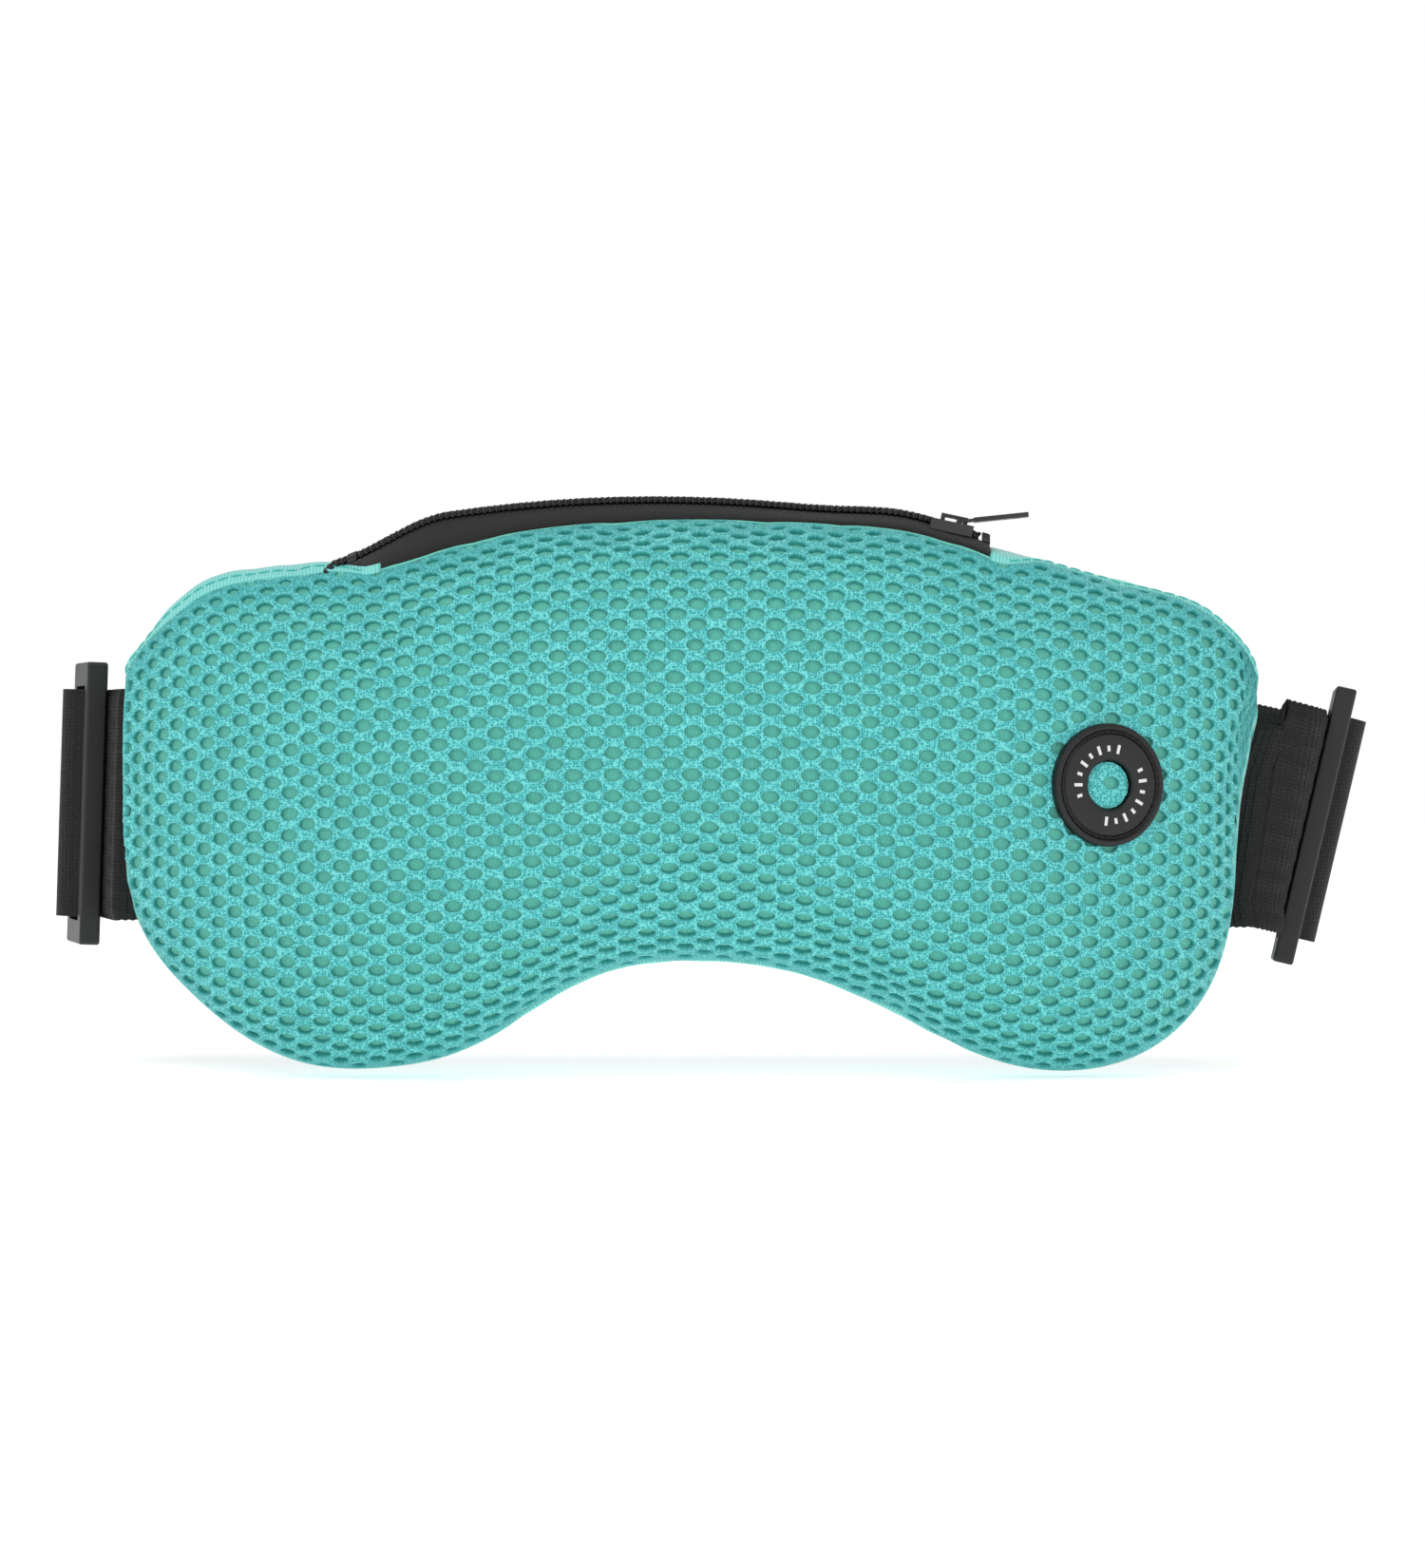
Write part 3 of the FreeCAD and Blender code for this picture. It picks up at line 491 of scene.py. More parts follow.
def sample_skin():
    """Loops round the mask, (stations, points, 3): front first, from the low seam to the top border."""
    skin = node_surface("front_mesh_panel", "back_panel")
    xs = station_places()

    def cast(centre, direction):
        """The skin seen from outside along a direction, or nothing where the button interrupts it."""
        hit, normal, _, _ = skin.ray_cast(centre + direction.normalized() * RAY_START, -direction)
        if hit is None or normal.dot(direction) < 0 or (hit - centre).dot(direction) < 0:
            return None
        if direction.y < 0 and from_axis(np.array([hit]))[0] < RING_R + 1.0 * MM:
            return None
        return hit

    def drop(x, y, sign):
        hit = skin.ray_cast(Vector((x, y, sign * RAY_START)), Vector((0, 0, -sign)))[0]
        return Vector((x, y, hit.z if hit else 0.0))

    near_slot = smooth_step(xs, slot_low - 14 * MM, slot_low - 1 * MM)
    near_slot *= 1 - smooth_step(xs, slot_high + 1 * MM, slot_high + 14 * MM)
    slot_front, slot_rear = (ZIP_Y + sign * (SLOT_HALF + 0.4 * MM) for sign in (-1, 1))
    ends, depths = [], []
    for x, close in zip(xs, near_slot):
        y0 = float(seam_y(x))
        low = drop(x, y0 - 0.5 * MM, -1)
        front_y = min(y0 - 1.0 * MM, (y0 - 1.0 * MM) * (1 - close) + slot_front * close)
        back_y = slot_rear if in_slot(x) else y0 + 0.3 * MM
        tops = drop(x, front_y, 1), drop(x, back_y, 1)
        ends.append((low, *tops))
        middle = Vector((x, y0, (low.z + tops[0].z) / 2))
        found = [cast(middle, Vector((0, sign * MM, 0))) for sign in (-1, 1)]
        depths.append([abs(hit.y - y0) if hit else np.nan for hit in found])
    depths = np.array(depths)
    for side in depths.T:
        known = np.isfinite(side)
        side[:] = np.interp(xs, xs[known], side[known])

    loops = []
    for (low, front_top, back_top), depth in zip(ends, depths):
        loop = [tuple(low)]
        for sign, count, reach, top in zip((-1, 1), (FRONT_N, BACK_N), depth, (front_top, back_top)):
            angles = np.linspace(-90, 90, count + 1)[1:-1]
            half = (top.z - low.z) / 2
            spare, hits = [], []
            for a in angles if sign < 0 else -angles:
                centre = low.lerp(top, 0.5)
                centre.y = low.y + (top.y - low.y) * min(max(a / 60, 0), 1)
                aim = Vector((0, sign * reach * math.cos(math.radians(a)), half * math.sin(math.radians(a))))
                hits.append(cast(centre, aim))
                spare.append(centre + aim)
            if sign > 0:
                loop.append(tuple(top))
            loop += bridged(hits, spare)
            if sign < 0:
                loop.append(tuple(top))
        loops.append(loop)
    return np.array(loops)


def bridged(hits, spare):
    """The hits, with every gap filled by a smooth curve through the points on both sides of it."""
    index = np.arange(len(hits))
    known = np.array([hit is not None for hit in hits])
    points = np.array([tuple(hit if hit is not None else other) for hit, other in zip(hits, spare)])
    starts = [i for i in index if not known[i] and (i == 0 or known[i - 1])]
    for start in starts:
        end = start
        while end < len(hits) and not known[end]:
            end += 1
        before, after = index[:start][known[:start]][-7:], index[end:][known[end:]][:7]
        near = np.concatenate([before, after]).astype(int)
        if len(near) < 2:
            continue
        gap = np.arange(start, end)
        middle = gap.mean()
        degree = 3 if min(len(before), len(after)) > 4 and len(gap) > 2 else 1
        if degree == 1:
            near = np.concatenate([before[-1:], after[:1]]).astype(int)
            degree = len(near) - 1
        for axis in (1, 2):
            fit = np.polyfit(near - middle, points[near, axis], degree)
            points[gap, axis] = np.polyval(fit, gap - middle)
    return [tuple(p) for p in points]


def swell(loops):
    """Cloth simulation of the sewn cover: a little spare cloth, held at the seams and under the ring."""
    rows = np.unique(np.append(np.arange(0, loops.shape[0], 2), loops.shape[0] - 1))
    seams = [0, FRONT_N, FRONT_N + 1]
    columns = np.unique(np.append(np.arange(0, loops.shape[1] - 1, 2), seams))
    coarse = loops[rows][:, columns]
    n, m = coarse.shape[:2]
    verts = coarse.reshape(-1, 3)
    caps = [coarse[0].mean(0), coarse[-1].mean(0)]
    faces = grid_faces(n, m, True)
    faces += [(j, n * m, (j + 1) % m) for j in range(m)]
    last = (n - 1) * m
    faces += [(last + (j + 1) % m, n * m + 1, last + j) for j in range(m)]
    obj = new_object("sim", np.vstack([verts, caps]) * SIM_SCALE, faces)
    sewn = [i * m + int(np.searchsorted(columns, j)) for i in range(n) for j in seams]
    sewn += list(range(m)) + list(range(last, last + m)) + [n * m, n * m + 1]
    ring = (from_axis(verts) < RING_R + 1 * MM) & (verts[:, 1] < 0)
    sewn += np.flatnonzero(ring).tolist()
    group = obj.vertex_groups.new(name="held")
    group.add(sewn, 1.0, "REPLACE")
    cloth = modifier(obj, "CLOTH")
    s = cloth.settings
    s.quality, s.mass = 5, 0.3
    s.tension_stiffness = s.compression_stiffness = 15
    s.bending_stiffness = 1.0
    s.use_pressure, s.uniform_pressure_force = True, SIM_PRESSURE
    s.vertex_group_mass = "held"
    s.shrink_min = s.shrink_max = -SPARE_CLOTH
    s.effector_weights.gravity = 0
    cloth.point_cache.frame_start, cloth.point_cache.frame_end = 1, SIM_FRAMES
    scene = bpy.context.scene
    for f in range(1, SIM_FRAMES + 1):
        scene.frame_set(f)
    moved = obj.evaluated_get(bpy.context.evaluated_depsgraph_get()).data
    co = np.zeros(len(moved.vertices) * 3)
    moved.vertices.foreach_get("co", co)
    shift = co.reshape(-1, 3)[: n * m].reshape(n, m, 3) / SIM_SCALE - coarse
    scene.frame_set(1)
    bpy.data.objects.remove(obj)
    length = np.linalg.norm(shift, axis=-1, keepdims=True)
    shift *= SIM_CAP * np.tanh(length / SIM_CAP) / np.maximum(length, 1e-9)
    # back onto the fine loops, whose last points close onto the first
    stations, points = loops.shape[:2]
    shift = np.concatenate([shift, shift[:, :1]], 1)
    columns = np.append(columns, points)
    across = np.array([along_arc(row, columns, np.arange(points)) for row in shift])
    return loops + np.stack([along_arc(across[:, j], rows, np.arange(stations)) for j in range(points)], 1)


skin = sample_skin()
stations = len(skin)
skin = swell(skin)
FRONT = skin[:, : FRONT_N + 1]
BACK = np.concatenate([skin[:, FRONT_N + 1 :], skin[:, :1]], 1)
front_skin = BVHTree.FromPolygons(FRONT.reshape(-1, 3).tolist(), grid_faces(stations, FRONT_N + 1))


class Drape:
    """The cloth's flat plane laid on a curved face: s runs across and t upwards, both in metres of cloth."""

    STEP = 0.5 * MM

    def __init__(self, face, level, top_in, bottom_in):
        """level: height where t is 0. top_in and bottom_in: how far the cloth stops short of the seam."""
        arc = np.array([arc_of(row) for row in face])
        spine, zero = [], []
        for row, length in zip(face, arc):
            height = np.clip(level(row[0, 0]), row[:, 2].min(), row[:, 2].max())
            order = np.maximum.accumulate(row[:, 2])
            at = np.interp(height, order + np.arange(len(order)) * 1e-9, length)
            zero.append(at)
            spine.append(along_arc(row, length, at))
        spine = np.array(spine)
        self.s = arc_of(spine)
        self.s -= np.interp(0, spine[:, 0], self.s)
        arc = arc - np.array(zero)[:, None]
        x = face[:, 0, 0]
        self.low = arc[:, 0] + bottom_in(x)
        self.high = arc[:, -1] - top_in(x)
        self.t0 = arc.min() - self.STEP
        self.count = int((arc.max() - self.t0) / self.STEP) + 3
        self.points = self.tabled(face, arc)
        self.normals = unit(self.tabled(self.outward_normals(face), arc))

    def tabled(self, rows, arc):
        """Values at even steps of t on every station."""
        ts = self.t0 + self.STEP * np.arange(self.count)
        stations = zip(rows, arc, self.low, self.high)
        return np.array([along_arc(row, a, np.clip(ts, low, high)) for row, a, low, high in stations])

    def outward_normals(self, face):
        normal = sheet_normals(face)
        outward = normal[:, normal.shape[1] // 2, 1].mean() > 0
        if outward != (face[:, face.shape[1] // 2, 1].mean() > seam_y(face[:, 0, 0]).mean()):
            normal = -normal
        return normal

    def limits(self, s):
        return np.interp(s, self.s, self.low), np.interp(s, self.s, self.high)

    def at(self, s, t, lift):
        """Points lift above the face at s, t."""
        s = np.clip(s, self.s[0], self.s[-1])
        low, high = self.limits(s)
        t = np.clip(t, low, high)
        u = np.clip(np.interp(s, self.s, np.arange(len(self.s))), 0, len(self.s) - 1.001)
        v = np.clip((t - self.t0) / self.STEP, 0, self.count - 1.001)
        i, k = u.astype(int), v.astype(int)
        fu, fv = (u - i)[..., None], (v - k)[..., None]
        out = []
        for table in (self.points, self.normals):
            top = table[i, k] * (1 - fv) + table[i, k + 1] * fv
            end = table[i + 1, k] * (1 - fv) + table[i + 1, k + 1] * fv
            out.append(top * (1 - fu) + end * fu)
        return out[0] + unit(out[1]) * np.asarray(lift)[..., None]


# ---- air mesh ----
PITCH_S, PITCH_T = 8.2 * MM, 4.51 * MM
HOLE_S, HOLE_T = 1.95 * MM, 1.33 * MM
PER_HOLE = 16
LEAN = 0.033  # the columns drift to the left going down
BACKING_DEPTH = 1.0 * MM
BORDER_LIFT = 0.2 * MM
# each ring of a hole: share of the way to its rim, lift in mm, painted highlight on the rim's lip, painted
# shade inside the hole
BANDS = (
    (0.5, 0.26, 0.05, 0), (0.84, 0.3, 0.6, 0), (1.0, 0.02, 1, 0.1),
    (1.04, -0.5, 0.2, 0.7), (1.06, -1.2, 0, 1),
)


def level_line(x):
    """Height of the cloth's level row: it sags a little towards both ends."""
    return 4 * MM - 0.16 * (x / 0.12) ** 2 * 20 * MM


def top_short(x):
    """The light back cloth wraps over the top edge, most of all left of the zip."""
    left = smooth_step(x, -0.121, -0.108) * (1 - smooth_step(x, -0.082, -0.070))
    return 1.0 * MM + 4.2 * MM * left


def bottom_short(x):
    return 0.6 * MM + 0 * x


drape = Drape(FRONT, level_line, top_short, bottom_short)


def cell_outline():
    """Border of one hole's own patch of cloth, in half pitches, and the angle of each border point."""
    a, b = PITCH_S / 2, PITCH_T / 2
    corner = (a * a + b * b) / 2
    flat = (corner - b * b) / a  # where the patch's slanted edge meets its level edge
    tip = corner / a
    corners = ((tip, 0), (flat, b), (-flat, b), (-tip, 0), (-flat, -b), (flat, -b), (tip, 0))
    points = []
    for (x0, z0), (x1, z1), count in zip(corners, corners[1:], (3, 2, 3, 3, 2, 3)):
        points += [(x0 + (x1 - x0) * i / count, z0 + (z1 - z0) * i / count) for i in range(count)]
    return np.array(points)


def air_mesh():
    """Knitted strands round every hole: cloth coordinates, lifts and faces."""
    border = cell_outline()
    angle = np.arctan2(border[:, 1] / HOLE_T, border[:, 0] / HOLE_S)
    s_reach, t_low, t_high = drape.s[-1], drape.low.min(), drape.high.max()
    rows = range(int(t_low / (PITCH_T / 2)) - 1, int(t_high / (PITCH_T / 2)) + 2)
    cols = range(int(drape.s[0] / PITCH_S) - 1, int(s_reach / PITCH_S) + 2)
    st, lift, rim_highlight, hole_shade, faces, index = [], [], [], [], [], {}

    def vertex(s, t, h, r, d, shared):
        key = (round(s * 2e5), round(t * 2e5)) if shared else None
        if shared and key in index:
            return index[key]
        st.append((s, t)), lift.append(h), rim_highlight.append(r), hole_shade.append(d)
        if shared:
            index[key] = len(st) - 1
        return len(st) - 1

    for j in rows:
        for i in cols:
            t0 = j * PITCH_T / 2
            s0 = i * PITCH_S + (j % 2) * PITCH_S / 2 + LEAN * t0
            low, high = drape.limits(s0)
            room = min(t0 - low, high - t0, s0 - drape.s[0], s_reach - s0)
            if room < -PITCH_T / 2:
                continue
            outline = [vertex(s0 + x + LEAN * z, t0 + z, BORDER_LIFT, 0, 0, True) for x, z in border]
            middle = drape.at(np.array([s0]), np.array([t0]), np.zeros(1))
            hidden = PATCH_R - 1.3 * MM < from_axis(middle)[0] < RING_R
            hidden = hidden and middle[0, 1] < seam_y(middle[0, 0])
            if room < 0.55 * HOLE_T or hidden:
                faces.append((vertex(s0, t0, BORDER_LIFT, 0, 0, False), outline))
                continue
            size = 0.66 + 0.34 * smooth_step(room, 0, 8 * MM)
            size *= 1 + rng.normal(0, 0.022)
            shift = rng.normal(0, 0.07 * MM, 2)
            point = rng.uniform(0.12, 0.34)
            narrow = 1 - point * np.maximum(0, np.cos(angle)) ** 2
            wide = HOLE_S * size * np.cos(angle) * (1 + 0.1 * point)
            hole = np.stack([wide, HOLE_T * size * np.sin(angle) * narrow], 1) + shift
            ring = outline
            for f, h, r, d in BANDS:
                lean = np.stack([LEAN * border[:, 1] * (1 - min(f, 1)), 0 * border[:, 0]], 1)
                at = border + (hole - border) * f + lean
                new = [vertex(s0 + x, t0 + z, h * MM, r, d, False) for x, z in at]
                faces.append((ring, new))
                ring = new
    return np.array(st), np.array(lift), np.array(rim_highlight), np.array(hole_shade), faces


def quads(faces):
    """Bands and fans of the air mesh as plain faces, turned to look outwards."""
    out = []
    for a, b in faces:
        if isinstance(a, int):
            out += [(a, b[(k + 1) % len(b)], b[k]) for k in range(len(b))]
        else:
            out += [(a[(k + 1) % PER_HOLE], a[k], b[k], b[(k + 1) % PER_HOLE]) for k in range(PER_HOLE)]
    return out


def build_air_mesh():
    st, lift, rim_highlight, hole_shade, bands = air_mesh()
    s, t = st.T
    low, high = drape.limits(s)
    room = np.min([t - low, high - t, s - drape.s[0], drape.s[-1] - s], 0)
    # painted shade near the seams: 1 at the border, fading out 12 mm in
    edge = 1 - smooth_step(room, 0, 12 * MM)
    tuck = np.clip(room - 1.5 * MM, -1.5 * MM, 0) * 0.4
    points = drape.at(s, t, lift * smooth_step(room, -0.5 * MM, 2.5 * MM) + tuck)
    faces = quads(bands)
    distance = from_axis(points)
    in_front = points[:, 1] < seam_y(points[:, 0])
    uv = st / MM

    def piece(name, keep, squeeze=None):
        chosen = [f for f in faces if keep(f)]
        used = sorted({i for f in chosen for i in f})
        remap = {old: new for new, old in enumerate(used)}
        co = points[used].copy()
        if squeeze:
            offset = co - RING_CENTRE
            along = (offset @ INWARD)[:, None] * INWARD
            radial = offset - along
            length = np.linalg.norm(radial, axis=1, keepdims=True)
            co = RING_CENTRE + along + radial * np.minimum(1, squeeze / np.maximum(length, 1e-9))
        return new_object(
            name, co, [tuple(remap[i] for i in f) for f in chosen], AIR_MESH, uv[used],
            {"rim_highlight": rim_highlight[used], "hole_shade": hole_shade[used], "edge": edge[used]},
        )

    def panel(side):
        def keep(f):
            outside = min(distance[list(f)]) > RING_R - 1.6 * MM or not in_front[f[0]]
            return outside and (st[f[0], 0] > 0) == (side > 0)
        return keep

    def on_patch(f):
        return min(distance[list(f)]) < PATCH_R and in_front[f[0]]

    halves = [piece("air_mesh_left", panel(-1)), piece("air_mesh_right", panel(1))]
    return halves, piece("air_mesh_button_patch", on_patch, PATCH_R)


def build_backing():
    """Closed inner face of the air mesh behind the holes, with its edge just inside the seam."""
    rows, cols = 150, 76
    s = np.linspace(drape.s[0], drape.s[-1], rows)
    low, high = drape.limits(s)
    t = low[:, None] + (high - low)[:, None] * np.linspace(0, 1, cols)
    s = np.repeat(s[:, None], cols, 1)
    room = np.minimum(t - low[:, None], high[:, None] - t)
    points = drape.at(s, t, -BACKING_DEPTH * smooth_step(room, -1 * MM, 4 * MM) - 0.1 * MM)
    flat = points.reshape(-1, 3)
    distance = from_axis(flat)
    uv = np.stack([s, t], -1).reshape(-1, 2) / MM
    faces = np.array(grid_faces(rows, cols))[:, ::-1]
    nearest, furthest = distance[faces].min(1), distance[faces].max(1)
    panel = new_object("air_mesh_backing", flat, faces[nearest > PATCH_R + 1.2 * MM], BACKING, uv)
    disc = faces[(furthest < PATCH_R + 1.5 * MM) & (flat[faces[:, 0], 1] < seam_y(flat[faces[:, 0], 0]))]
    return panel, disc_piece(flat, disc, uv)


def disc_piece(points, faces, uv):
    """The part of the backing under the button's patch, which moves with it."""
    used = np.unique(faces)
    remap = np.zeros(len(points), int)
    remap[used] = np.arange(len(used))
    return new_object("air_mesh_patch_backing", points[used], remap[faces], BACKING, uv[used])


air_halves, air_patch = build_air_mesh()
backing, patch_backing = build_backing()
for piece in (*air_halves, backing):
    hand_over(piece, "front_mesh_panel", "mask")
for piece in (air_patch, patch_backing):
    hand_over(piece, "button_cover_patch", "button")


# ---- smooth back cloth, wrapped a little way over the edge ----
KNIT_LIFT, KNIT_TURN = 0.25 * MM, 1.2 * MM
WRAP_N, KNIT_N = 12, 72


def knit_rows():
    """Each station's path: from under the mesh's top border, down the back and round the low edge."""
    rows = []
    for face, back in zip(FRONT, BACK):
        x = face[0, 0]
        top = face[::-1]
        arc = arc_of(top)
        wrap = float(top_short(x)) + 1.0 * MM
        if in_slot(x):
            over = np.repeat(back[:1], WRAP_N, 0)
        else:
            over = along_arc(top, arc, np.linspace(wrap, 0, WRAP_N))
        low = along_arc(face, arc_of(face), np.linspace(0, 1.6 * MM, 5)[1:])
        path = np.vstack([back, low])
        path_arc = arc_of(path)
        rest = along_arc(path, path_arc, np.linspace(0, path_arc[-1], KNIT_N))
        rows.append(np.vstack([over, rest]))
    return np.array(rows)


def outward_normals(rows):
    normal = sheet_normals(rows)
    x = rows[:, :, 0]
    core = np.stack(np.broadcast_arrays(x, seam_y(x[:, :1]), rows[:, :, 2].mean(1)[:, None]), -1)
    return normal * np.sign((normal * (rows - core)).sum(-1).mean())


def seam_gathers(rows, arc):
    """Small puckers that run from the sewn edge into the back cloth and die out."""
    x = rows[:, :, 0]
    ends = np.minimum(arc, arc[:, -1:] - arc)
    wave = 0.6 * np.sin(x / (2.3 * MM) + 1.7 * np.sin(x / (9 * MM))) + 0.4 * np.sin(x / (1.31 * MM) + 0.8)
    return 0.22 * MM * wave * smooth_step(ends, 0.5 * MM, 2.5 * MM) * (1 - smooth_step(ends, 4 * MM, 16 * MM))


def build_knit():
    rows = knit_rows()
    normal = outward_normals(rows)
    arc = np.array([arc_of(row) for row in rows])
    lift = np.full(rows.shape[:2], KNIT_LIFT) + seam_gathers(rows, arc)
    outer = rows + normal * lift[..., None]
    # both borders are turned in under the cloth
    first = outer[:, :1] - normal[:, :1] * KNIT_TURN
    last = outer[:, -1:] - normal[:, -1:] * KNIT_TURN
    sheet = np.concatenate([first, outer, last], 1)
    n, m = sheet.shape[:2]
    caps = np.array([sheet[0].mean(0), sheet[-1].mean(0)])
    faces = grid_faces(n, m)
    faces += [(j, n * m, j + 1) for j in range(m - 1)]
    end = (n - 1) * m
    faces += [(end + j + 1, n * m + 1, end + j) for j in range(m - 1)]
    u = np.broadcast_to(rows[:, :1, 0], (n, m)) / MM
    v = np.concatenate([arc[:, :1] - KNIT_TURN, arc, arc[:, -1:] + KNIT_TURN], 1) / MM
    uv = np.vstack([np.stack([u, v], -1).reshape(-1, 2), [[0, 0], [0, 0]]])
    obj = new_object("knit_back", np.vstack([sheet.reshape(-1, 3), caps]), faces, KNIT, uv)
    return obj, outer, normal


knit_back, knit_outer, knit_normal = build_knit()
hand_over(knit_back, "back_panel", "mask")


def build_hem():
    """Stitches in teal thread along the turned edge of the back cloth where it shows over the mesh."""
    row = 4
    line = knit_outer[:, row] + knit_normal[:, row] * 0.05 * MM
    pieces = []
    for keep in (line[:, 0] < slot_low - 1 * MM, line[:, 0] > slot_high + 1 * MM):
        path = line[keep]
        arc = arc_of(path)
        for start in np.arange(2 * MM, arc[-1] - 4 * MM, 3.1 * MM):
            at = np.linspace(start, start + 2.3 * MM, 6)
            bow = np.sin(np.linspace(0, np.pi, 6))[:, None] * 0.12 * MM
            points = along_arc(path, arc, at)
            normals = along_arc(knit_normal[keep, row], arc, at)
            pieces.append(tube_along(points + normals * bow, 0.16 * MM, 6))
    return new_object("hem_stitches", *merged(pieces), TEAL_THREAD)


hand_over(build_hem(), None, "mask")


# ---- zip: tapes, coil and stops ----
zip_joint = next(j for j in frame["joints"] if j["name"] == "zip_slider_travel")
ZIP_CENTRE_X, ZIP_CENTRE_Z = zip_joint["pos_m"][0], zip_joint["pos_m"][2]
ZIP_R = coil_high.z - 1.0 * MM - ZIP_CENTRE_Z
TOOTH_PITCH = 1.35 * MM
TOOTH_R = 0.42 * MM
TAPE_OUT = 1.5 * MM  # the tapes hang either side of the slider's foot
COIL_LOW_X = -0.0795  # the left end runs on past the opening and sinks into the seam
SWELL_X, SWELL_W, SWELL_H = 0.045, 0.013, 1.8 * MM  # the chain stands proud of its arc before the slider


def zip_height(x):
    """Height of the middle of the coil: a wide arc that dips steeply at its left end."""
    x = np.asarray(x, float)
    arc = ZIP_CENTRE_Z + np.sqrt(ZIP_R**2 - (x - ZIP_CENTRE_X) ** 2)
    dip = 5.6 * MM * smooth_step(-x, 0.052, 0.076) + 2.2 * MM * smooth_step(-x, 0.0755, 0.0795)
    return arc - dip + SWELL_H * np.exp(-(((x - SWELL_X) / SWELL_W) ** 2))


def zip_path(low, high, step=0.5 * MM):
    x = np.arange(low, high, step)
    return np.stack([x, np.full_like(x, ZIP_Y), zip_height(x)], 1)


def offset_path(path, across, up):
    tangent = unit(np.gradient(path, axis=0))
    normal = np.stack([-tangent[:, 2], 0 * tangent[:, 0], tangent[:, 0]], 1)
    sideways = np.array([0, 1.0, 0]) * np.asarray(across)[..., None]
    return path + normal * np.asarray(up)[..., None] + sideways


def build_tape(name, side):
    """Black tape from under the coil down to the cloth's edge, with a small ridge where it is sewn."""
    border = FRONT[:, -1] if side < 0 else BACK[:, 0]
    out = np.array([0, side * 1.0, 0])
    rows = []
    for x in np.arange(COIL_LOW_X + 1.5 * MM, slot_high + 0.4 * MM, 0.9 * MM):
        edge = np.array([x, *(np.interp(x, border[:, 0], border[:, k]) for k in (1, 2))])
        top = np.array([x, ZIP_Y + side * TAPE_OUT, float(zip_height(x)) - 0.7 * MM])
        edge[2] = min(edge[2], top[2] - 0.2 * MM)
        shares = np.linspace(0, 1, 9)
        face = [top * (1 - f) + edge * f + out * (0.5 * MM * math.sin(math.pi * f)) for f in shares]
        face.append(edge + out * 0.1 * MM - np.array([0, 0, 3.0 * MM]))
        rows.append(face + [p - out * 0.55 * MM for p in face[::-1]])
    rows = np.array(rows)
    n, m = rows.shape[:2]
    u, v = np.broadcast_arrays(rows[:, :1, 0], arc_of(rows[0]))
    obj = new_object(name, rows.reshape(-1, 3), capped(n, m), TAPE, np.stack([u, v], -1).reshape(-1, 2) / MM)
    modifier(obj, "BEVEL", width=0.12 * MM, segments=2, limit_method="ANGLE")
    return obj


def build_coil(name, side):
    """One row of coil teeth: a flattened helix of monofilament, with its heads at the middle of the chain."""
    path = zip_path(COIL_LOW_X, coil_high.x)
    arc = arc_of(path)
    at = np.linspace(0, arc[-1], int(arc[-1] / TOOTH_PITCH) * 14)
    middle = along_arc(path, arc, at)
    phase = 2 * np.pi * at / TOOTH_PITCH + (np.pi if side > 0 else 0)
    tooth = offset_path(middle, side * (0.95 * MM - 1.05 * MM * np.cos(phase)), 0.62 * MM * np.sin(phase))
    cord, seam = middle[::4], middle[::3]
    still, wave = np.zeros(len(cord)), np.cos(np.arange(len(seam)) * 1.6)
    cord = offset_path(cord, still + side * 1.05 * MM, still)
    seam = offset_path(seam, 0 * wave + side * 1.45 * MM, 0.62 * MM + 0.12 * MM * wave)
    lines = ((tooth, TOOTH_R, 6), (cord, 0.5 * MM, 6), (seam, 0.2 * MM, 5))
    return new_object(name, *merged([tube_along(*line, up=(0.0, 1.0, 0.0)) for line in lines]), COIL)


for side, word in ((-1, "front"), (1, "back")):
    hand_over(build_tape("zipper_tape_" + word, side), "zip_tape_" + word, "mask")
    hand_over(build_coil("zipper_coil_" + word, side), "zip_coil_" + word, "mask")


def build_stops():
    """Small folded clips that end the chain, one at each end."""
    angle = 2 * math.pi * (np.arange(16) + 0.5) / 16
    across, up = (np.copysign(abs(wave) ** 0.5, wave) for wave in (np.cos(angle), np.sin(angle)))
    ring = np.stack([0 * across, 2.25 * MM * across, 1.25 * MM * up], 1)
    parts = []
    for x, long in ((COIL_LOW_X + 6 * MM, 2.2 * MM), (coil_high.x + 0.6 * MM, 1.8 * MM)):
        path = zip_path(x, x + long, 0.2 * MM)
        rows = path[:, None] + ring
        parts.append((rows.reshape(-1, 3), capped(*rows.shape[:2])))
    obj = new_object("zipper_stops", *merged(parts), ENAMEL)
    modifier(obj, "BEVEL", width=0.15 * MM, segments=2, limit_method="ANGLE")
    return obj


hand_over(build_stops(), "zip_end_stops", "mask")


# ---- button ring ----
OUTWARD = -INWARD
RIGHT = np.array([OUTWARD[1] * -1, OUTWARD[0], 0.0])
UP = np.array([0.0, 0.0, 1.0])
RING_HALF = 1.5 * MM
SEAM_R = 0.862 * RING_R  # the sewing line in its shallow groove
MARK_IN, MARK_OUT, MARK_HALF = 6.75 * MM, 8.65 * MM, 0.34 * MM
RING_TURNS, STITCHES, MARKS = 144, 46, 8
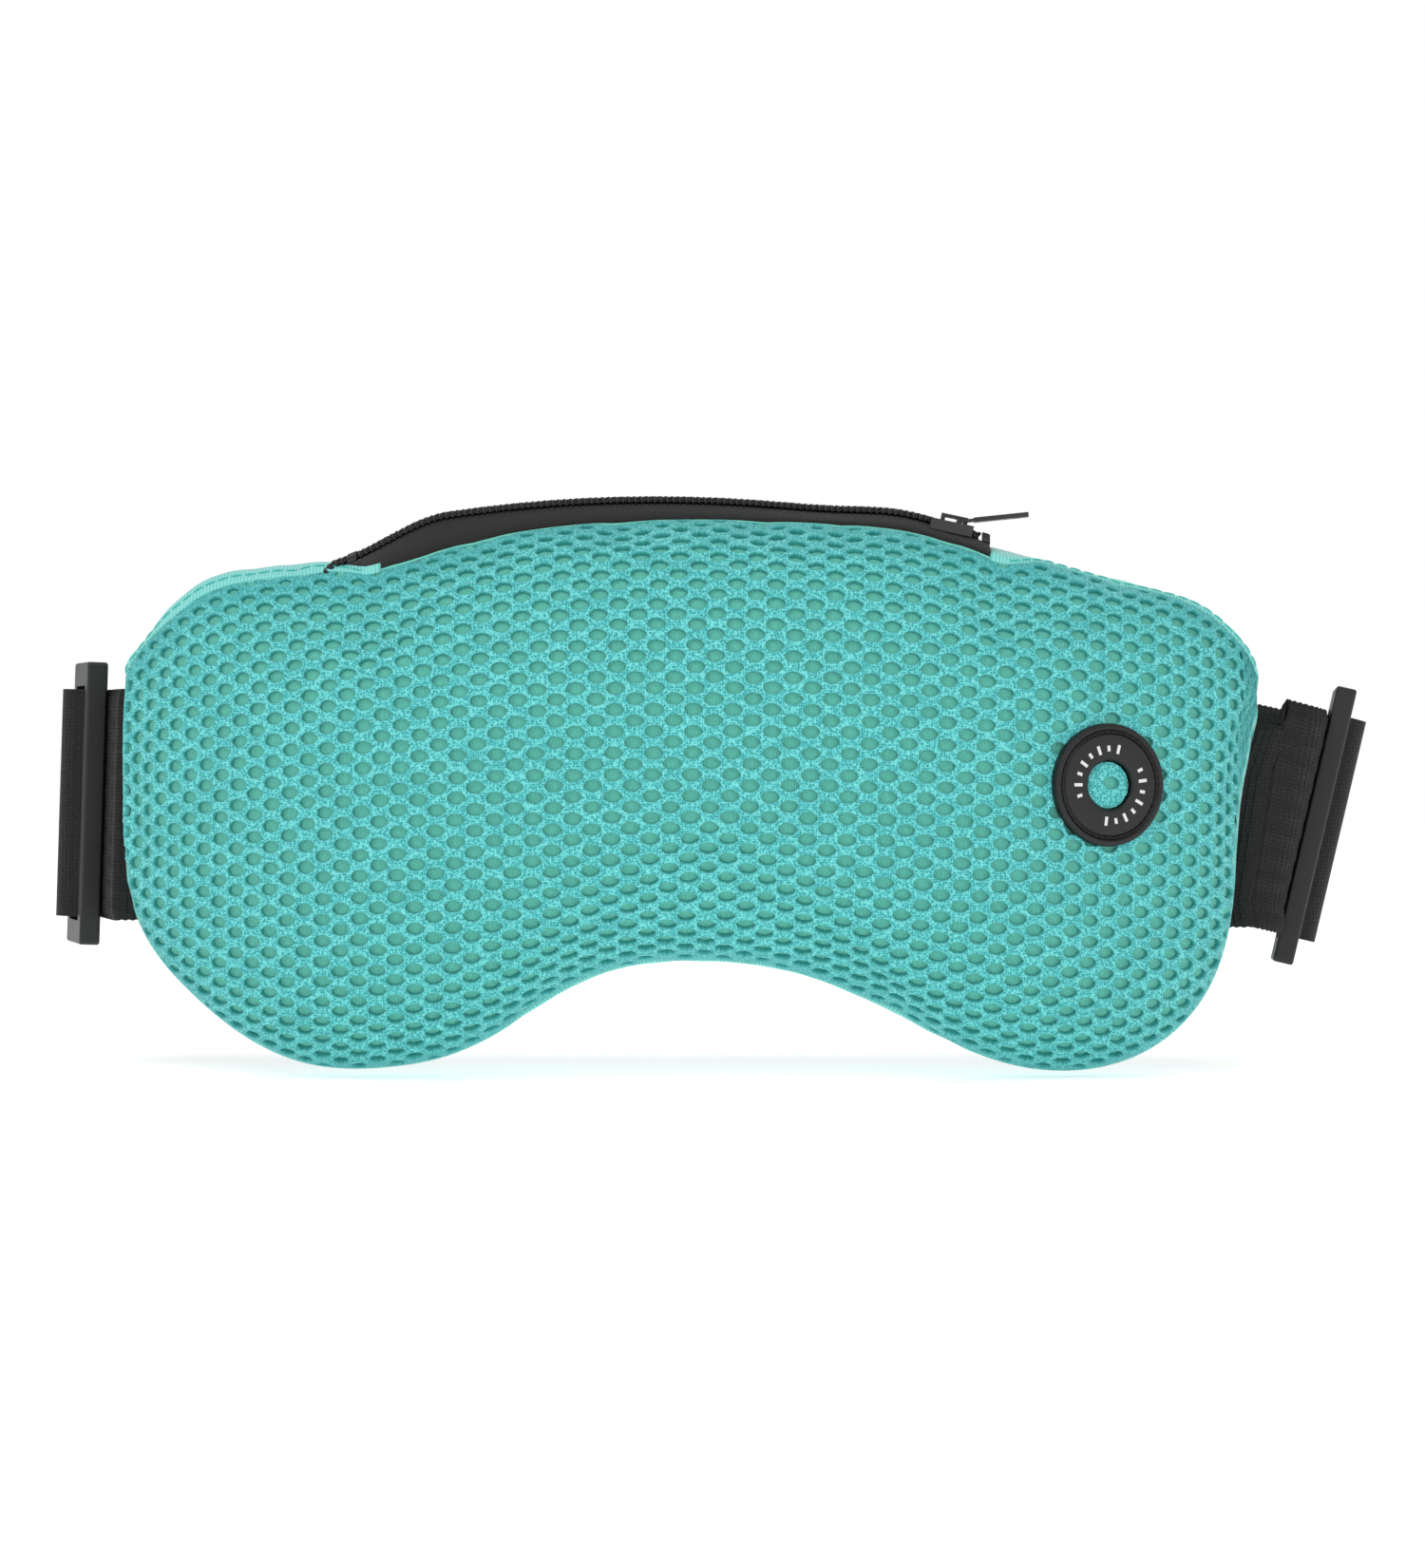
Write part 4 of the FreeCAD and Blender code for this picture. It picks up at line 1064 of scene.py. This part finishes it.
# the ring's section: millimetres out from a radius and up from its back or its face
RING_PROFILE = (
    (HOLE_R, -RING_HALF, ((0.15, 0), (0, 0.2))),
    (HOLE_R, RING_HALF, ((0, -0.75), (0.12, -0.42), (0.42, -0.16), (0.8, -0.1))),
    (SEAM_R, RING_HALF, (
        (-0.9, -0.1), (-0.62, -0.16), (-0.45, -0.42), (-0.2, -0.62),
        (0.2, -0.62), (0.42, -0.4), (0.6, -0.1), (0.85, 0),
    )),
    (RING_R, RING_HALF, ((-0.62, -0.06), (-0.25, -0.3), (-0.05, -0.72), (0, -1.1))),
    (RING_R, -RING_HALF, ((0, 0.3), (-0.3, 0))),
)


def on_ring(radius, angle, height):
    """A point on the ring: angle from the right, anticlockwise as seen from in front."""
    radius, angle, height = np.broadcast_arrays(radius, angle, height)
    flat = radius[..., None] * (np.cos(angle)[..., None] * RIGHT + np.sin(angle)[..., None] * UP)
    return RING_CENTRE + flat + height[..., None] * OUTWARD


def cloth_height(angle, radius):
    """Height of the cloth beside the ring, measured like the ring's own heights."""
    start = on_ring(radius, angle, 20 * MM)
    hit = front_skin.ray_cast(Vector(start), Vector(INWARD))[0]
    return 20 * MM - (hit - Vector(start)).length if hit else -RING_HALF


def build_ring():
    """A moulded ring turned round the button: bevelled hole, flat face, sewn groove and rounded lip."""
    radius, height = np.array([
        (start + out * MM, face + up * MM) for start, face, points in RING_PROFILE for out, up in points
    ]).T
    angles = np.linspace(0, 2 * np.pi, RING_TURNS, endpoint=False)
    heights = np.repeat(height[None], RING_TURNS, 0)
    base = np.array([cloth_height(a, RING_R) for a in angles])
    heights[:, -2], heights[:, -1] = base + 0.05 * MM, base - 0.1 * MM
    heights[:, -3] = np.minimum(heights[:, -3], heights[:, -2] + 1.1 * MM)
    points = on_ring(radius[None], angles[:, None], heights)
    m = len(height)
    faces = []
    for i in range(RING_TURNS):
        for j in range(m):
            a, b = i * m, ((i + 1) % RING_TURNS) * m
            k = (j + 1) % m
            faces.append((a + j, b + j, b + k, a + k))
    body = new_object("ring_body", points.reshape(-1, 3), faces, RUBBER)
    modifier(body, "BEVEL", width=0.05 * MM, segments=2, limit_method="ANGLE")
    return body


def build_ring_stitches():
    stitches = []
    for i in range(STITCHES):
        a = np.linspace(-0.36, 0.36, 7) * 2 * np.pi / STITCHES + i * 2 * np.pi / STITCHES
        lift = RING_HALF - 0.62 * MM + 0.14 * MM * np.cos(np.linspace(-1.4, 1.4, 7))
        stitches.append(tube_along(on_ring(SEAM_R, a, lift), 0.17 * MM, 6, up=tuple(OUTWARD)))
    return new_object("ring_stitches", *merged(stitches), BLACK_THREAD)


def build_marks():
    """Two arcs of plain raised ticks, long and short in turn."""
    marks = []
    for start, end in ((-98, 24), (76, 197)):
        for i in range(MARKS):
            middle = math.radians(start + (end - start) * i / (MARKS - 1))
            short = 0.35 * MM * (i % 2)
            inner, outer, half = MARK_IN + short, MARK_OUT - short, MARK_HALF
            corners = [(inner, -half), (outer, -half), (outer, half), (inner, half)]
            rings = []
            for lift, shrink in ((-0.14, 0.0), (-0.06, 0.0), (-0.02, 0.07)):
                ring = []
                for r, side in corners:
                    r_in = r + (shrink if r == inner else -shrink) * MM
                    side_in = side - math.copysign(shrink, side) * MM
                    ring.append(on_ring(r_in, middle + side_in / r_in, RING_HALF + lift * MM))
                rings.append(ring)
            verts = [p for ring in rings for p in ring]
            marks.append((np.array(verts), capped(3, 4)))
    return new_object("ring_marks", *merged(marks), WHITE, smooth=False)


for piece in (build_ring(), build_ring_stitches(), build_marks()):
    hand_over(piece, "button_ring", "mask")


# ---- webbing ----
HEAD = Vector((0, 0.07, 0))
MIDDLE_Z = -2.5 * MM
WEB_T = 1.8 * MM
RIB = 1.55 * MM
RAGGED = 0.12 * MM
WEB_COLUMNS = 33
BLEND_SPARE = 1.2 * MM  # length held back from the free end where the bend line's reach is worked out
strap_skin = node_surface("head_strap")


def strap_sheet(step=0.5):
    """Inner face of the strap seen from the middle of the head: rows along it, each from low edge to high."""
    def inner(angle, z):
        aim = Vector((math.sin(angle), math.cos(angle), 0))
        return strap_skin.ray_cast(Vector((HEAD.x, HEAD.y, z)), aim)[0]

    def edge(angle, sign):
        inside, outside = MIDDLE_Z, MIDDLE_Z + sign * 45 * MM
        for _ in range(14):
            middle = (inside + outside) / 2
            if inner(angle, middle):
                inside = middle
            else:
                outside = middle
        return inside

    rows = []
    for angle in np.radians(np.arange(-114.9, 116.0, step)):
        if inner(angle, MIDDLE_Z) is None:
            continue
        low, high = edge(angle, -1), edge(angle, 1)
        if high - low < 42 * MM:
            continue
        hits = [inner(angle, z) for z in np.linspace(low + 0.05 * MM, high - 0.05 * MM, 9)]
        if all(hits):
            rows.append([tuple(hit) for hit in hits])
    return np.array(rows)


def resample(rows, step):
    """Rows spaced evenly along the middle of the strap."""
    middle = rows[:, rows.shape[1] // 2]
    arc = arc_of(middle)
    at = np.linspace(0, arc[-1], max(int(arc[-1] / step), 2) + 1)
    return np.stack([along_arc(rows[:, j], arc, at) for j in range(rows.shape[1])], 1), at


def widen(rows, columns):
    share = np.linspace(0, rows.shape[1] - 1, columns)
    i = np.clip(share.astype(int), 0, rows.shape[1] - 2)
    f = (share - i)[None, :, None]
    return rows[:, i] * (1 - f) + rows[:, i + 1] * f


def build_web(name, rows, at):
    """Thick woven band on an inner face: ribs across both faces, rounded edges and uneven selvedges."""
    rows = widen(rows, WEB_COLUMNS)
    along = unit(np.gradient(rows, axis=0))
    across = unit(np.gradient(rows, axis=1))
    normal = unit(np.cross(along, across))
    if (normal * (rows - np.array([HEAD.x, HEAD.y, 0]))).sum(-1).mean() < 0:
        normal = -normal
    share = np.linspace(-1, 1, WEB_COLUMNS)
    edge_thin = np.sqrt(np.clip(1 - np.abs(share) ** 14, 0, 1))
    ribs = np.cos(2 * np.pi * at / RIB)[:, None]
    relief = (0.12 + 0.12 * ribs - 0.08 * ribs * np.cos(10 * np.pi * share)) * MM
    half = WEB_T / 2 * (0.15 + 0.85 * edge_thin)
    selvedge = np.where(np.abs(share) > 0.96, np.sign(share), 0)
    centre = rows + normal * WEB_T / 2 + RAGGED * (ribs * selvedge)[..., None] * across
    thick = normal * (half - 0.16 * MM + relief)[..., None]
    loop = np.concatenate([centre + thick, (centre - thick)[:, ::-1]], 1)
    width = np.concatenate([share, share[::-1]]) * 25
    uv = np.stack(np.broadcast_arrays(at[:, None] / MM, width), -1).reshape(-1, 2)
    return new_object(name, loop.reshape(-1, 3), capped(*loop.shape[:2]), WEBBING, uv)


ROW_STEP = 0.3 * MM
sheet, sheet_at = resample(strap_sheet(), ROW_STEP)
total = sheet_at[-1]
LEFT_STUB, RIGHT_STUB, TUCK_ROWS = 11 * MM, 13 * MM, 16
left_rows = sheet_at <= LEFT_STUB
right_rows = sheet_at >= total - RIGHT_STUB
main_rows = (sheet_at >= LEFT_STUB - 0.4 * MM) & (sheet_at <= total - RIGHT_STUB + 0.4 * MM)

main_web = build_web("strap_webbing", sheet[main_rows], sheet_at[main_rows])
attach(main_web, "strap")
stubs = []
for name, chosen in (("strap_end_left", left_rows), ("strap_end_right", right_rows)):
    rows, at = sheet[chosen], sheet_at[chosen]
    # the sewn end turns into the side seam
    inwards = np.array([-np.sign(rows[0, 0, 0]), 0.08, 0.0])
    steps = ROW_STEP * np.arange(1, TUCK_ROWS + 1)
    if name.endswith("left"):
        lead = rows[:1] + steps[::-1, None, None] * inwards
        rows, at = np.vstack([lead, rows]), np.concatenate([at[0] - steps[::-1], at])
        sewn, free = rows[TUCK_ROWS], rows[-1]
    else:
        tail = rows[-1:] + steps[:, None, None] * inwards
        rows, at = np.vstack([rows, tail]), np.concatenate([at, at[-1] + steps])
        sewn, free = rows[-1 - TUCK_ROWS], rows[0]
    stub = build_web(name, rows, at)
    # a line square to the webbing's edges, from the sewn end towards the free end, is worked out here;
    # nothing uses it
    upright = unit(free[-1] - free[0])
    run = free.mean(0) - sewn.mean(0)
    run = unit(run - (run @ upright) * upright)
    start = sewn.mean(0) + run * ((sewn - sewn.mean(0)) @ run).max()
    reach = ((free - start) @ run).min() - BLEND_SPARE
    start, end = tuple(map(float, start)), tuple(map(float, start + run * reach))
    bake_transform(stub)
    stubs.append(stub)
for piece in (main_web, *stubs):
    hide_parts("head_strap")
for side in ("left", "right"):
    fold = frame["nodes"][side + "_strap_fold"]
    fold.data.materials.clear()
    fold.data.materials.append(WEBBING_PLAIN)


# ---- materials of the pieces that keep their CAD shape ----
BOX_PLASTIC = plastic_material("box_plastic", (30, 31, 33), (54, 55, 58), 0.45, 1500, 0.25)
POD_PLASTIC = plastic_material("pod_plastic", (205, 205, 200), (226, 226, 222), 0.4, 1500, 0.1)
SWITCH_PLASTIC = plastic_material("switch_plastic", (214, 212, 204), (236, 234, 228), 0.35, 1500, 0.1)
CELL_WRAP = plastic_material("cell_wrap", (34, 74, 120), (52, 98, 150), 0.3, 900, 0.1)
WIRE = plastic_material("wire_red", (150, 26, 22), (184, 40, 34), 0.35, 2000, 0.1)
STRAP_SLIDER_BEVEL, SMALL_BEVEL = 0.7 * MM, 0.18 * MM

# how a node's name starts; the first look that fits is used
LOOKS = (
    (FOAM, ("foam",)), (CELL_WRAP, ("battery_cells",)), (BRASS, ("motor_weight",)), (WIRE, ("wire",)),
    (STEEL, ("battery_plates", "battery_springs", "motor_screws", "switch_spring", "switch_contact")),
    (POD_PLASTIC, ("motor_cradle", "motor_cover")), (SWITCH_PLASTIC, ("switch_housing", "button_plunger")),
    (ENAMEL, ("zip_slider", "zip_pull", "zip_end_stops")),
    (SLIDER_PLASTIC, ("left_strap_slider", "right_strap_slider")),
    (BOX_PLASTIC, ("battery",)), (STEEL, ("motor_",)),
)

for name, node in frame["nodes"].items():
    look = next((look for look, starts in LOOKS if name.startswith(starts)), None)
    if look:
        node.data.materials.clear()
        node.data.materials.append(look)
        if look is not FOAM and not node.modifiers:
            width = STRAP_SLIDER_BEVEL if "strap_slider" in name else SMALL_BEVEL
            bevel = modifier(node, "BEVEL", width=width, segments=3, limit_method="ANGLE")
            bevel.angle_limit = math.radians(40)

# the switch's dome spring, which flattens on to the housing as the plunger comes in, gets a mesh of its own
# here
spring = frame["nodes"]["switch_spring"]
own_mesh(spring)




# ---- floor, light and camera ----
FLOOR_GAP, FLOOR_HALF, FLOOR_GLOW = 1.5 * MM, 6.0, 0.42
WORLD_LIGHT, WORLD_SEEN = 0.7, 1.0
CAMERA_DISTANCE, VIEW_HEIGHT, SENSOR = 1.1, 0.3366, 36.0
AIM_X, AIM_Y, AIM_Z = 4.3 * MM, 10 * MM, 2 * MM


def build_stage():
    floor_z = cad_box[0][2] - FLOOR_GAP
    corners = [(x * FLOOR_HALF, y * FLOOR_HALF, floor_z) for x, y in ((-1, -1), (1, -1), (1, 1), (-1, 1))]
    n = Nodes("floor", 0.9, Emission_Color=(1, 1, 1, 1), Emission_Strength=FLOOR_GLOW)
    look = n.done(Base_Color=n.mix(n.noise(40, 2), (0.96,) * 3, (0.98,) * 3))
    new_object("floor", corners, [(0, 1, 2, 3)], look, smooth=False)

    # the room lights the mask gently, and the camera sees it as plain white
    world = bpy.data.worlds.new("studio")
    world.use_nodes = True
    tree = world.node_tree
    background = tree.nodes["Background"]
    background.inputs["Color"].default_value = (1, 1, 1, 1)
    path = tree.nodes.new("ShaderNodeLightPath")
    strength = tree.nodes.new("ShaderNodeMapRange")
    strength.inputs["To Min"].default_value = WORLD_LIGHT
    strength.inputs["To Max"].default_value = WORLD_SEEN
    tree.links.new(path.outputs["Is Camera Ray"], strength.inputs["Value"])
    tree.links.new(strength.outputs["Result"], background.inputs["Strength"])
    bpy.context.scene.world = world

    def area(name, location, aim, width, power):
        light = bpy.data.lights.new(name, "AREA")
        light.shape, light.size, light.energy = "DISK", width, power
        obj = bpy.data.objects.new(name, light)
        bpy.context.scene.collection.objects.link(obj)
        obj.location = location
        obj.rotation_euler = (Vector(aim) - Vector(location)).to_track_quat("-Z", "Y").to_euler()

    area("key", (-0.45, -0.9, 1.0), (0, 0, 0), 0.8, 5.0)
    area("fill", (0.9, -1.0, 0.25), (0, 0, 0), 0.9, 1.6)
    area("back", (0.3, 1.1, 0.9), (0, 0.05, 0), 0.9, 2.5)

    camera = bpy.data.cameras.new("camera")
    camera.sensor_fit, camera.sensor_height = "VERTICAL", SENSOR
    camera.lens = SENSOR * CAMERA_DISTANCE / VIEW_HEIGHT
    camera.clip_start, camera.clip_end = 0.01, 50
    obj = bpy.data.objects.new("camera", camera)
    bpy.context.scene.collection.objects.link(obj)
    obj.location = (AIM_X, AIM_Y - CAMERA_DISTANCE, AIM_Z)
    obj.rotation_euler = (math.pi / 2, 0, 0)
    bpy.context.scene.camera = obj
    bpy.context.scene.view_settings.view_transform = "Standard"


build_stage()
